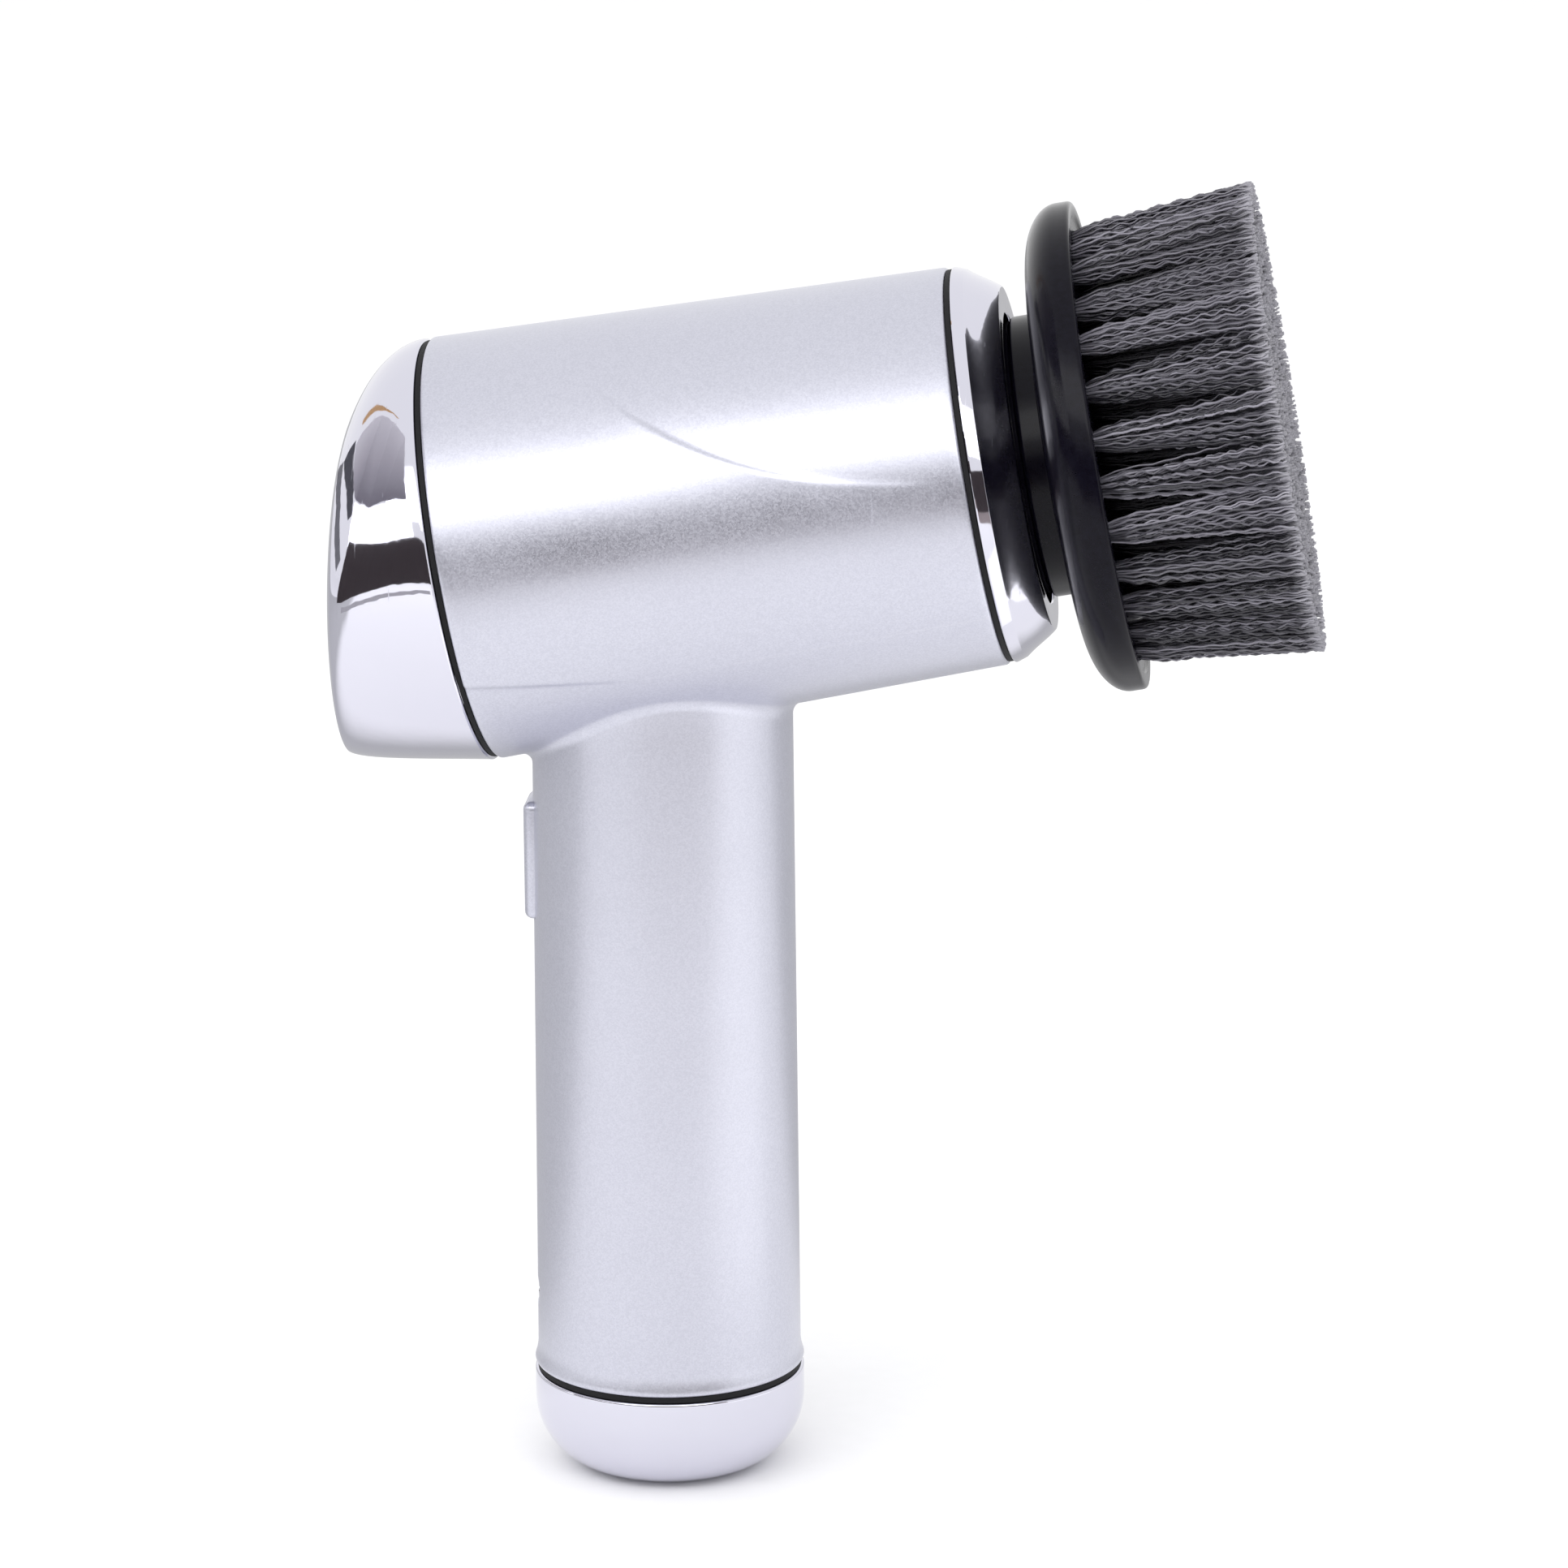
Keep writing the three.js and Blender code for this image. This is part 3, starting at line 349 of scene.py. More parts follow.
class Nodes:
    """A material's or a node group's tree, with short calls to add and join its nodes."""

    def __init__(self, tree):
        self.tree = tree

    def add(self, kind, settings=(), **inputs):
        node = self.tree.nodes.new("ShaderNode" + kind)
        for name, value in dict(settings).items():
            setattr(node, name, value)
        for name, value in inputs.items():
            self.feed(node.inputs[name.replace("_", " ")], value)
        return node

    def feed(self, socket, value):
        if isinstance(value, bpy.types.NodeSocket):
            self.tree.links.new(value, socket)
        else:
            socket.default_value = value

    def ramp(self, factor, stops):
        """A colour that runs between two stops, each a place and a colour."""
        node = self.add("ValToRGB", Fac=factor)
        for element, (place, shade) in zip(list(node.color_ramp.elements), stops):
            element.position, element.color = place, (*shade, 1)
        return node.outputs["Color"]

    def mixed(self, factor, first, second):
        node = self.add("Mix", {"data_type": "RGBA"})
        self.feed(node.inputs["Factor"], factor)
        self.feed(node.inputs[6], first)
        self.feed(node.inputs[7], second)
        return node.outputs[2]

    def sum(self, operation, first, second, clamp=False):
        node = self.add("Math", {"operation": operation, "use_clamp": clamp})
        self.feed(node.inputs[0], first)
        self.feed(node.inputs[1], second)
        return node.outputs[0]


def new_group(name, inputs, outputs):
    """An empty node group with numbers as its inputs, and its inner tree, inputs and output node."""
    tree = bpy.data.node_groups.new(name, "ShaderNodeTree")
    for socket, default in inputs.items():
        number = tree.interface.new_socket(socket, in_out="INPUT", socket_type="NodeSocketFloat")
        number.default_value = default
    for socket, kind in outputs.items():
        tree.interface.new_socket(socket, in_out="OUTPUT", socket_type=kind)
    nodes = Nodes(tree)
    source, sink = tree.nodes.new("NodeGroupInput"), tree.nodes.new("NodeGroupOutput")
    return nodes, source.outputs, sink.inputs


# Faint unevenness of a moulded, sprayed or plated skin: a slow waviness and a fine peel.
peel, asked, given = new_group(
    "moulded_skin", {"Wave": 0.5, "Peel": 0.5, "Peel Scale": 1500},
    {"Height": "NodeSocketFloat", "Tone": "NodeSocketFloat"})
place = peel.add("TexCoord").outputs["Object"]
wave = peel.add("TexNoise", Vector=place, Scale=70, Detail=1, Roughness=0.4).outputs["Fac"]
grain = peel.add("TexNoise", Vector=place, Scale=asked["Peel Scale"], Detail=2, Roughness=0.6).outputs["Fac"]
peel.feed(given["Height"], peel.sum("ADD", peel.sum("MULTIPLY", wave, asked["Wave"]),
                                    peel.sum("MULTIPLY", grain, asked["Peel"])))
peel.feed(given["Tone"], grain)

# Marks of handling: worn convex edges, finger smudges and sparse hairline scratches.
wear, asked, given = new_group(
    "handling_marks", {"Edge": 0.5, "Smudge Scale": 45, "Scratch Scale": 260},
    {"Edge": "NodeSocketFloat", "Smudge": "NodeSocketFloat", "Scratch": "NodeSocketFloat"})
place = wear.add("TexCoord").outputs["Object"]
convex = wear.add("NewGeometry").outputs["Pointiness"]
edges = wear.add("MapRange", Value=convex).outputs["Result"]
edges.node.inputs["From Min"].default_value, edges.node.inputs["From Max"].default_value = 0.53, 0.62
patchy = wear.add("TexNoise", Vector=place, Scale=320, Detail=3, Roughness=0.7).outputs["Fac"]
worn = wear.sum("MULTIPLY", edges, wear.sum("MULTIPLY", patchy, asked["Edge"]), clamp=True)
smear = wear.add("TexNoise", Vector=place, Scale=asked["Smudge Scale"], Detail=4, Roughness=0.55,
                 Distortion=0.8)
blot = wear.add("MapRange", Value=smear.outputs["Fac"]).outputs["Result"]
blot.node.inputs["From Min"].default_value, blot.node.inputs["From Max"].default_value = 0.42, 0.72
drawn_out = wear.add("Mapping", Vector=place, Scale=(9, 1.2, 0.6)).outputs["Vector"]
streaks = wear.add("TexNoise", Vector=drawn_out, Scale=asked["Scratch Scale"], Detail=1,
                   Roughness=0.3).outputs["Fac"]
thin = wear.add("MapRange", Value=streaks).outputs["Result"]
thin.node.inputs["From Min"].default_value, thin.node.inputs["From Max"].default_value = 0.71, 0.75
wear.feed(given["Edge"], worn)
wear.feed(given["Smudge"], blot)
wear.feed(given["Scratch"], thin)


def new_material(name, **fixed):
    """A material with its Principled shader, whose fixed sockets are set by name."""
    material = bpy.data.materials.new(name)
    material.use_nodes = True
    nodes = Nodes(material.node_tree)
    shader = material.node_tree.nodes["Principled BSDF"]
    for socket, value in fixed.items():
        shader.inputs[socket.replace("_", " ")].default_value = value
    return material, nodes, shader.inputs


def use_group(nodes, name, **inputs):
    group = nodes.add("Group", {"node_tree": bpy.data.node_groups[name]})
    for socket, value in inputs.items():
        nodes.feed(group.inputs[socket.replace("_", " ")], value)
    return group.outputs


def raised(nodes, height, distance, strength=1.0):
    return nodes.add("Bump", Height=height, Distance=distance, Strength=strength).outputs["Normal"]


def silver_paint():
    """Fine aluminium-flake lacquer under a thin clear coat, cool in tone."""
    material, nodes, shader = new_material("silver_paint", Metallic=0.86, Coat_Weight=0.25,
                                           Coat_Roughness=0.12)
    flakes = nodes.add("TexVoronoi", Scale=5200, Vector=nodes.add("TexCoord").outputs["Object"])
    skin = use_group(nodes, "moulded_skin", Wave=0.6, Peel=0.25, Peel_Scale=900)
    marks = use_group(nodes, "handling_marks", Edge=0.5, Smudge_Scale=38, Scratch_Scale=240)
    glint = nodes.add("SeparateColor", Color=flakes.outputs["Color"]).outputs["Red"]
    lacquer = nodes.ramp(glint, [(0, (0.545, 0.55, 0.63)), (1, (0.625, 0.63, 0.71))])
    lacquer = nodes.mixed(nodes.sum("MULTIPLY", marks["Edge"], 0.4), lacquer, (0.78, 0.78, 0.82, 1))
    nodes.feed(shader["Base Color"], nodes.mixed(nodes.sum("MULTIPLY", marks["Smudge"], 0.06),
                                                 lacquer, (0.55, 0.55, 0.62, 1)))
    rough = nodes.sum("ADD", 0.31, nodes.sum("MULTIPLY", glint, 0.08))
    rough = nodes.sum("ADD", rough, nodes.sum("MULTIPLY", marks["Smudge"], 0.05))
    nodes.feed(shader["Roughness"], nodes.sum("ADD", rough, nodes.sum("MULTIPLY", marks["Scratch"], 0.05)))
    nodes.feed(shader["Normal"], raised(nodes, nodes.sum("ADD", skin["Height"],
               nodes.sum("MULTIPLY", glint, 0.12)), 0.02 * mm, 0.6))
    return material


silver = silver_paint()
shell.data.materials.append(silver)
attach(shell, "body")
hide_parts("body_shell")

# ---------------------------------------------------------------- power button
# A rounded slab in the body's colour that slides in a hole through the handle's rear wall,
# held in by a flange behind it and pushed back by the switch on the board.

button_depth = 4.4 * mm
flange_thickness, flange_margin, flange_centre = 0.8 * mm, 2 * mm, -14.1 * mm

button = rounded_block("silver_power_button", (button_depth, button_width, button_length),
                       (button_low.x + button_depth / 2, 0, button_height), 1.1 * mm, 6)
flange = rounded_block(
    "button_flange", (flange_thickness, button_width + flange_margin, button_length + flange_margin),
    (flange_centre, 0, button_height), 0.3 * mm, 2)
joined = button.modifiers.new("flange", "BOOLEAN")
joined.operation, joined.solver, joined.object = "UNION", "EXACT", flange
finished(button)
bpy.data.objects.remove(flange)
button.data.materials.append(silver)
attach(button, "button")
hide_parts("power_button")

# ---------------------------------------------------------------- control board and switch
# A small glass-fibre board slid into the handle behind its rear wall, and the switch soldered
# to it behind the button. The switch is a black moulded case with a sprung plunger.


def circuit_laminate():
    """Green solder mask over copper tracks, with tinned pads."""
    material, nodes, shader = new_material("circuit_laminate", Coat_Weight=0.3)
    place = nodes.add("TexCoord").outputs["Object"]
    tracks = nodes.add("TexBrick", Vector=place, Scale=260, Mortar_Size=0.03).outputs["Fac"]
    pads = nodes.add("TexVoronoi", Vector=place, Scale=420).outputs["Distance"]
    tinned = nodes.sum("LESS_THAN", pads, 0.22)
    mask = nodes.mixed(tracks, (0.012, 0.085, 0.03, 1), (0.03, 0.19, 0.07, 1))
    nodes.feed(shader["Base Color"], nodes.mixed(tinned, mask, (0.6, 0.6, 0.57, 1)))
    nodes.feed(shader["Metallic"], nodes.sum("MULTIPLY", tinned, 0.9))
    nodes.feed(shader["Roughness"], nodes.sum("SUBTRACT", 0.42, nodes.sum("MULTIPLY", tinned, 0.15)))
    nodes.feed(shader["Normal"], raised(nodes, tracks, 0.03 * mm))
    return material


def moulded_plastic(name, dark, light, rough, peel_scale=1400, **fixed):
    """Plain moulding with a fine grain from its tool and a faint mottle of colour."""
    material, nodes, shader = new_material(name, **fixed)
    skin = use_group(nodes, "moulded_skin", Wave=0.5, Peel=0.4, Peel_Scale=peel_scale)
    marks = use_group(nodes, "handling_marks", Edge=0.4, Smudge_Scale=55, Scratch_Scale=300)
    nodes.feed(shader["Base Color"], nodes.mixed(nodes.sum("MULTIPLY", marks["Edge"], 0.25),
                                                 nodes.ramp(skin["Tone"], [(0.3, dark), (0.7, light)]),
                                                 tuple(min(1, 1.6 * c + 0.02) for c in light) + (1,)))
    nodes.feed(shader["Roughness"], nodes.sum("ADD", rough, nodes.sum("MULTIPLY", marks["Smudge"], 0.08)))
    nodes.feed(shader["Normal"], raised(nodes, skin["Height"], 0.03 * mm, 0.5))
    return material


def finish_cad(material, slot, *names):
    """Gives CAD nodes that keep their shape the finish of their own stock."""
    for name in names:
        node = frame["nodes"][name]
        node.data.materials.clear()
        node.data.materials.append(material)
        node.data.polygons.foreach_set("use_smooth", [True] * len(node.data.polygons))
        node.data.set_sharp_from_angle(angle=radians(32))


satin_black = moulded_plastic("satin_black", (0.0025, 0.002, 0.005), (0.0045, 0.004, 0.0085), 0.15, 1100,
                              Specular_IOR_Level=0.14)
finish_cad(circuit_laminate(), "circuit_board", "control_board")
finish_cad(satin_black, "black_plastic", "tact_switch")

# ---------------------------------------------------------------- charging port
# A drawn steel socket soldered to the foot of the board. Its mouth stands in the small
# rounded hole low in the handle's rear wall.


def turned_metal(name, colour, rough, worn_colour, ridges=0.5):
    """Machined bar: fine tool marks, a little tarnish and brighter edges."""
    material, nodes, shader = new_material(name, Metallic=1.0)
    place = nodes.add("TexCoord").outputs["Object"]
    tool = nodes.add("TexWave", {"wave_type": "RINGS", "rings_direction": "X"}, Vector=place, Scale=900,
                     Distortion=1.5, Detail=2).outputs["Fac"]
    marks = use_group(nodes, "handling_marks", Edge=0.9, Smudge_Scale=90, Scratch_Scale=500)
    base = nodes.mixed(nodes.sum("MULTIPLY", marks["Smudge"], 0.45), (*colour, 1), (*worn_colour, 1))
    nodes.feed(shader["Base Color"], nodes.mixed(marks["Edge"], base, (0.85, 0.85, 0.85, 1)))
    nodes.feed(shader["Roughness"], nodes.sum("ADD", rough, nodes.sum("MULTIPLY", tool, 0.1)))
    nodes.feed(shader["Normal"], raised(nodes, tool, 0.01 * mm, ridges))
    return material


steel = turned_metal("turned_steel", (0.60, 0.61, 0.63), 0.24, (0.44, 0.43, 0.42))
finish_cad(steel, "steel", "charging_port")

# ---------------------------------------------------------------- battery
# One round cell in a blue shrink wrap, snapped into a black moulded tray that slides up the
# handle from its foot. Two insulated leads run from its ends to the board.

cell_wrap = moulded_plastic("cell_wrap", (0.015, 0.10, 0.36), (0.02, 0.14, 0.46), 0.3, 600, Coat_Weight=0.5)
red_insulation = moulded_plastic("red_insulation", (0.36, 0.01, 0.01), (0.48, 0.015, 0.015), 0.4)
black_insulation = moulded_plastic("black_insulation", (0.010, 0.010, 0.010), (0.02, 0.02, 0.02), 0.4)
finish_cad(cell_wrap, "cell_wrap", "battery_cell")
finish_cad(satin_black, "black_plastic", "battery_tray")
finish_cad(red_insulation, "red_insulation", "battery_lead_plus")
finish_cad(black_insulation, "black_insulation", "battery_lead_minus")

# ---------------------------------------------------------------- motor
# A brushed motor: a drawn steel can with two ferrite magnets glued in, a wound armature that
# turns between them with a brass pinion on its shaft, and a nylon bell that closes the can.


def rotor_stack():
    """Copper windings showing between varnished steel laminations."""
    material, nodes, shader = new_material("rotor_stack", Metallic=0.9)
    place = nodes.add("TexCoord").outputs["Object"]
    sheets = nodes.add("TexWave", {"wave_type": "BANDS", "bands_direction": "X"}, Vector=place,
                       Scale=320).outputs["Fac"]
    blend = nodes.add("TexNoise", Vector=place, Scale=160, Detail=2).outputs["Fac"]
    copper = nodes.ramp(sheets, [(0.3, (0.30, 0.10, 0.04)), (0.7, (0.62, 0.26, 0.11))])
    nodes.feed(shader["Base Color"], nodes.mixed(blend, copper, (0.33, 0.31, 0.30, 1)))
    nodes.feed(shader["Roughness"], nodes.sum("ADD", 0.3, nodes.sum("MULTIPLY", blend, 0.3)))
    nodes.feed(shader["Normal"], raised(nodes, sheets, 0.04 * mm))
    return material


white_nylon = moulded_plastic("white_nylon", (0.70, 0.68, 0.62), (0.78, 0.76, 0.70), 0.4)
ferrite = moulded_plastic("ferrite", (0.035, 0.034, 0.036), (0.07, 0.068, 0.07), 0.6, 2600)
brass = turned_metal("brass_bar", (0.70, 0.50, 0.20), 0.26, (0.45, 0.30, 0.12))
finish_cad(steel, "steel", "motor_can", "motor_screw_1", "motor_screw_2")
finish_cad(white_nylon, "white_nylon", "motor_end_bell")
finish_cad(ferrite, "ferrite", "motor_magnet_lower", "motor_magnet_upper")
finish_cad(rotor_stack(), "rotor", "motor_armature")
finish_cad(brass, "brass", "sun_pinion")
finish_cad(red_insulation, "red_insulation", "motor_lead_plus")
finish_cad(black_insulation, "black_insulation", "motor_lead_minus")

# ---------------------------------------------------------------- gearbox
# Three nylon planets on steel pins roll inside a toothed nylon housing and carry the output
# shaft round in two bearings behind a rubber seal. Three screws hold it to the bulkhead.


def black_rubber():
    """Dense black elastomer with a dusty, slightly mottled skin."""
    material, nodes, shader = new_material("black_rubber", Specular_IOR_Level=0.25)
    skin = use_group(nodes, "moulded_skin", Wave=0.3, Peel=0.7, Peel_Scale=2200)
    nodes.feed(shader["Base Color"], nodes.ramp(skin["Tone"], [(0.3, (0.004, 0.004, 0.005)),
                                                                (0.7, (0.009, 0.009, 0.011))]))
    nodes.feed(shader["Roughness"], nodes.sum("ADD", 0.5, nodes.sum("MULTIPLY", skin["Tone"], 0.3)))
    nodes.feed(shader["Normal"], raised(nodes, skin["Height"], 0.03 * mm))
    return material


rubber = black_rubber()
grey_nylon = moulded_plastic("grey_nylon", (0.22, 0.23, 0.24), (0.28, 0.29, 0.30), 0.5)
aluminium = turned_metal("cast_aluminium", (0.55, 0.56, 0.58), 0.4, (0.42, 0.42, 0.43), 0.3)
finish_cad(grey_nylon, "grey_nylon", "gearbox_housing")
finish_cad(aluminium, "aluminium", "gearbox_front_plate")
finish_cad(white_nylon, "white_nylon", *[f"planet_gear_{i}" for i in (1, 2, 3)])
finish_cad(steel, "steel", "planet_carrier", *[f"planet_pin_{i}" for i in (1, 2, 3)])
finish_cad(steel, "steel", "output_shaft", "rear_bearing", "front_bearing")
finish_cad(rubber, "rubber", "shaft_seal")
finish_cad(steel, "steel", *[f"drive_screw_{i}" for i in (1, 2, 3)])

# ---------------------------------------------------------------- seam rings
# Three moulded rings of black rubber, one in the seam behind each plated end piece. Each is
# stretched over the piece's spigot and trapped, a little sunk, when the piece is pushed in.


def eased(outline, closed=True, steps=5):
    """The outline, a list of (radius, along, ease), with each corner rounded off by its ease."""
    points = []
    count = len(outline)
    for i, (x, y, ease) in enumerate(outline):
        corner = Vector((x, y))
        if ease == 0 or (not closed and i in (0, count - 1)):
            points.append(corner)
            continue
        back = Vector(outline[i - 1][:2]) - corner
        on = Vector(outline[(i + 1) % count][:2]) - corner
        cut = min(ease, 0.48 * back.length, 0.48 * on.length)
        start, end = corner + back.normalized() * cut, corner + on.normalized() * cut
        for k in range(steps + 1):
            t = k / steps
            points.append(start * (1 - t) ** 2 + corner * 2 * t * (1 - t) + end * t ** 2)
    return points


def turned_piece(name, outline, place=on_barrel, sides=144, closed=True, sharp=35):
    """A solid of revolution from an outline that closes on itself or starts and ends on the axis."""
    points = eased(outline, closed)
    vertices, faces, rows = [], [], []
    for radius, along in points:
        if radius < 1e-6:
            rows.append([len(vertices)] * sides)
            vertices.append(place(along, 0, 0))
        else:
            rows.append(list(range(len(vertices), len(vertices) + sides)))
            vertices += [place(along, 2 * pi * k / sides, radius) for k in range(sides)]
    pairs = zip(rows, rows[1:] + rows[:1]) if closed else zip(rows, rows[1:])
    for lower, upper in pairs:
        for k in range(sides):
            n = (k + 1) % sides
            corners = [lower[k], lower[n], upper[n], upper[k]]
            face = [c for i, c in enumerate(corners) if c != corners[i - 1]]
            if len(face) > 2:
                faces.append(face)
    return finished(new_piece(name, vertices, faces), sharp)


def on_handle(height, angle, radius):
    return Vector((radius * cos(angle), radius * sin(angle), height))


foot_top = ring_low.z - seam_gap
ring_sunk, ring_slack, ring_ease = 0.35 * mm, 0.05 * mm, 0.1 * mm

gaskets = [
    ("rear_seam_gasket", "rear_seam_ring", on_barrel, cap_front, shell_rear, cone_radius(cap_front)),
    ("front_seam_gasket", "front_seam_ring", on_barrel, shell_front, collar_rear, cone_radius(shell_front)),
    ("foot_seam_gasket", "handle_seam_ring", on_handle, foot_top, shell_bottom, foot_radius)]
for name, node, place, low, high, radius in gaskets:
    outer, inner = radius - ring_sunk, radius - wall
    ring = turned_piece(name, [
        (inner, low + ring_slack, 0), (outer, low + ring_slack, ring_ease),
        (outer, high - ring_slack, ring_ease), (inner, high - ring_slack, 0)], place)
    ring.data.materials.append(rubber)
    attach(ring, "body")
    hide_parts(node)

# ---------------------------------------------------------------- rear cap
# A chrome-plated moulding pushed into the shell's rear end. It carries the barrel's line round
# into a shallow dome that stands upright, parallel to the handle, behind a crisp rim.

dome = 1.8 * mm
rim_centre = Vector((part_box("rear_cap")[0].x + dome, 0, 123.05 * mm))
rim_half_height, rim_half_width = 21.6 * mm, 22.5 * mm
rim_ease = 1.8 * mm
underside_lean = 0.17
wall_steps, rim_steps, dome_steps = 40, 6, 18


def bezier(points, t):
    a, b, c, d = points
    return a * (1 - t) ** 3 + b * 3 * t * (1 - t) ** 2 + c * 3 * t * t * (1 - t) + d * t ** 3


def rear_cap_column(angle):
    """Points from the cap's front edge along its wall, round the rim and to the middle of the dome."""
    edge = on_barrel(cap_front, angle, cone_radius(cap_front))
    spoke = Vector((0, -rim_half_width * sin(angle), rim_half_height * cos(angle)))
    rim = rim_centre + spoke
    length = (edge - rim).dot(forward)
    away = rim - axle_point
    drop = cone_radius(cap_front) - (away - forward * away.dot(forward)).length
    lean = underside_lean * (1 - cos(angle)) / 2
    leaving = on_barrel(cap_front - 0.5 * length, angle,
                        cone_radius(cap_front) * (1 - 0.5 * length * lean / rear_radius))
    arriving = rim + spoke.normalized() * (0.35 * drop) + forward * (0.1 * drop)

    def on_wall(share):
        return bezier((edge, leaving, arriving, rim), share)

    def on_dome(share):
        return rim_centre + spoke * share - Vector((dome * (1 - share ** 2), 0, 0))

    # the rim is rounded off between a point on the wall and a point on the dome
    wall_end, dome_start = 1 - rim_ease / length, 1 - rim_ease / rim_half_height
    start, end = on_wall(wall_end), on_dome(dome_start)
    corner = [start * (1 - t) ** 2 + rim * 2 * t * (1 - t) + end * t * t
              for t in [k / rim_steps for k in range(rim_steps + 1)]]
    kept_wall = [on_wall(i / wall_steps) for i in range(wall_steps + 1) if i / wall_steps < wall_end - 0.01]
    kept_dome = [on_dome(1 - i / dome_steps) for i in range(dome_steps + 1)
                 if 1 - i / dome_steps < dome_start - 0.01]
    return kept_wall, corner, kept_dome


def rear_cap(sides=160):
    """The cap's skin, row by row from its front edge to the middle of the dome, then its wall."""
    columns = [rear_cap_column(2 * pi * k / sides) for k in range(sides)]
    most = min(len(column[0]) for column in columns)
    vertices, faces, rows = [], [], []

    def add_row(points):
        rows.append(list(range(len(vertices), len(vertices) + len(points))))
        vertices.extend(points)

    for along, drop in eased_end(cap_front, -1)[:-1]:
        add_row([on_barrel(along, 2 * pi * k / sides, cone_radius(cap_front) - drop) for k in range(sides)])
    for i in range(1, most):
        add_row([column[0][round(i * (len(column[0]) - 1) / (most - 1))] for column in columns])
    for i in range(rim_steps + 1):
        add_row([column[1][i] for column in columns])
    for i in range(len(columns[0][2]) - 1):
        add_row([column[2][i] for column in columns])
    for lower, upper in zip(rows, rows[1:]):
        for k in range(sides):
            n = (k + 1) % sides
            faces.append((lower[k], lower[n], upper[n], upper[k]))
    vertices.append(columns[0][2][-1])
    faces += [(rows[-1][k], rows[-1][(k + 1) % sides], len(vertices) - 1) for k in range(sides)]
    skin = new_piece("chrome_rear_cap", vertices, faces)
    shape = bmesh.new()
    shape.from_mesh(skin.data)
    bmesh.ops.recalc_face_normals(shape, faces=shape.faces)
    outwards = sum(face.normal.dot(face.calc_center_median() - rim_centre) for face in shape.faces)
    if outwards < 0:
        bmesh.ops.reverse_faces(shape, faces=shape.faces)
    shape.to_mesh(skin.data)
    shape.free()
    thick = skin.modifiers.new("wall", "SOLIDIFY")
    thick.thickness, thick.offset = wall, -1
    return finished(skin)


def chrome_plate():
    """Bright chrome on plastic: mirror-like, a little wavy, with faint smudges and hairlines."""
    material, nodes, shader = new_material("chrome_plate", Metallic=1.0)
    skin = use_group(nodes, "moulded_skin", Wave=0.5, Peel=1.0, Peel_Scale=230)
    marks = use_group(nodes, "handling_marks", Edge=0.3, Smudge_Scale=60, Scratch_Scale=330)
    nodes.feed(shader["Base Color"], nodes.mixed(nodes.sum("MULTIPLY", marks["Smudge"], 0.12),
                                                 (0.69, 0.685, 0.77, 1), (0.62, 0.615, 0.695, 1)))
    rough = nodes.sum("ADD", 0.035, nodes.sum("MULTIPLY", marks["Smudge"], 0.05))
    nodes.feed(shader["Roughness"], nodes.sum("ADD", rough, nodes.sum("MULTIPLY", marks["Scratch"], 0.1)))
    nodes.feed(shader["Normal"], raised(nodes, skin["Height"], 0.05 * mm, 0.5))
    return material


chrome = chrome_plate()
cap = rear_cap()
cap.data.materials.append(chrome)
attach(cap, "body")
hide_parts("rear_cap")

# ---------------------------------------------------------------- front collar
# A chrome-plated moulding pushed into the shell's front end: a narrow band, then a faintly
# curved cone down to a flat lip round the brush's neck.

collar_front = barrel_reach("front_collar")[1]
band_end, band_radius, band_bore = collar_rear + 1.7 * mm, 26.2 * mm, 22.6 * mm
lip_radius, lip_thickness, collar_hole = 23.2 * mm, 1.2 * mm, 19.6 * mm
ogee = [(band_radius - (band_radius - lip_radius) * (0.9 * u + 0.1 * ((2 * u - 1) ** 3 + 1) / 2),
         band_end + (collar_front - band_end) * u, 0) for u in [i / 14 for i in range(1, 14)]]
collar = turned_piece("chrome_front_collar", [
    (cone_radius(collar_rear) - wall, collar_rear, 0), (cone_radius(collar_rear), collar_rear, edge_ease),
    (band_radius, band_end, 0.06 * mm), *ogee, (lip_radius, collar_front, 0.5 * mm),
    (collar_hole, collar_front, 0.3 * mm), (collar_hole, collar_front - lip_thickness, 0.1 * mm),
    (lip_radius - wall, collar_front - lip_thickness, 0), (band_bore, band_end, 0)], sharp=9)
collar.data.materials.append(chrome)
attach(collar, "body")
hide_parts("front_collar")

# ---------------------------------------------------------------- handle's end cap
# A chrome-plated cup pushed up into the handle's foot once the battery is in, with a big
# round corner and a small flat to stand on.

flat_radius = 8.6 * mm
foot_corner = foot_radius - flat_radius
foot_arc = [(flat_radius + foot_corner * sin(pi / 2 * i / 16), foot_corner * (1 - cos(pi / 2 * i / 16)), 0)
            for i in range(17)]
inner_arc = [(flat_radius + (foot_corner - wall) * sin(pi / 2 * i / 8),
              wall + (foot_corner - wall) * (1 - cos(pi / 2 * i / 8)), 0) for i in range(8, -1, -1)]
foot = turned_piece("chrome_end_cap", [(0, 0, 0), *foot_arc, (foot_radius, foot_top, edge_ease),
                                       (foot_radius - wall, foot_top, 0), *inner_arc, (0, wall, 0)],
                    on_handle, closed=False)
foot.data.materials.append(chrome)
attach(foot, "body")
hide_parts("handle_end_cap")

# ---------------------------------------------------------------- brush disc
# A satin black disc moulded with its neck and hub. A brass socket pressed in the hub slides
# on the hexagonal end of the output shaft, so that the whole head pulls off.

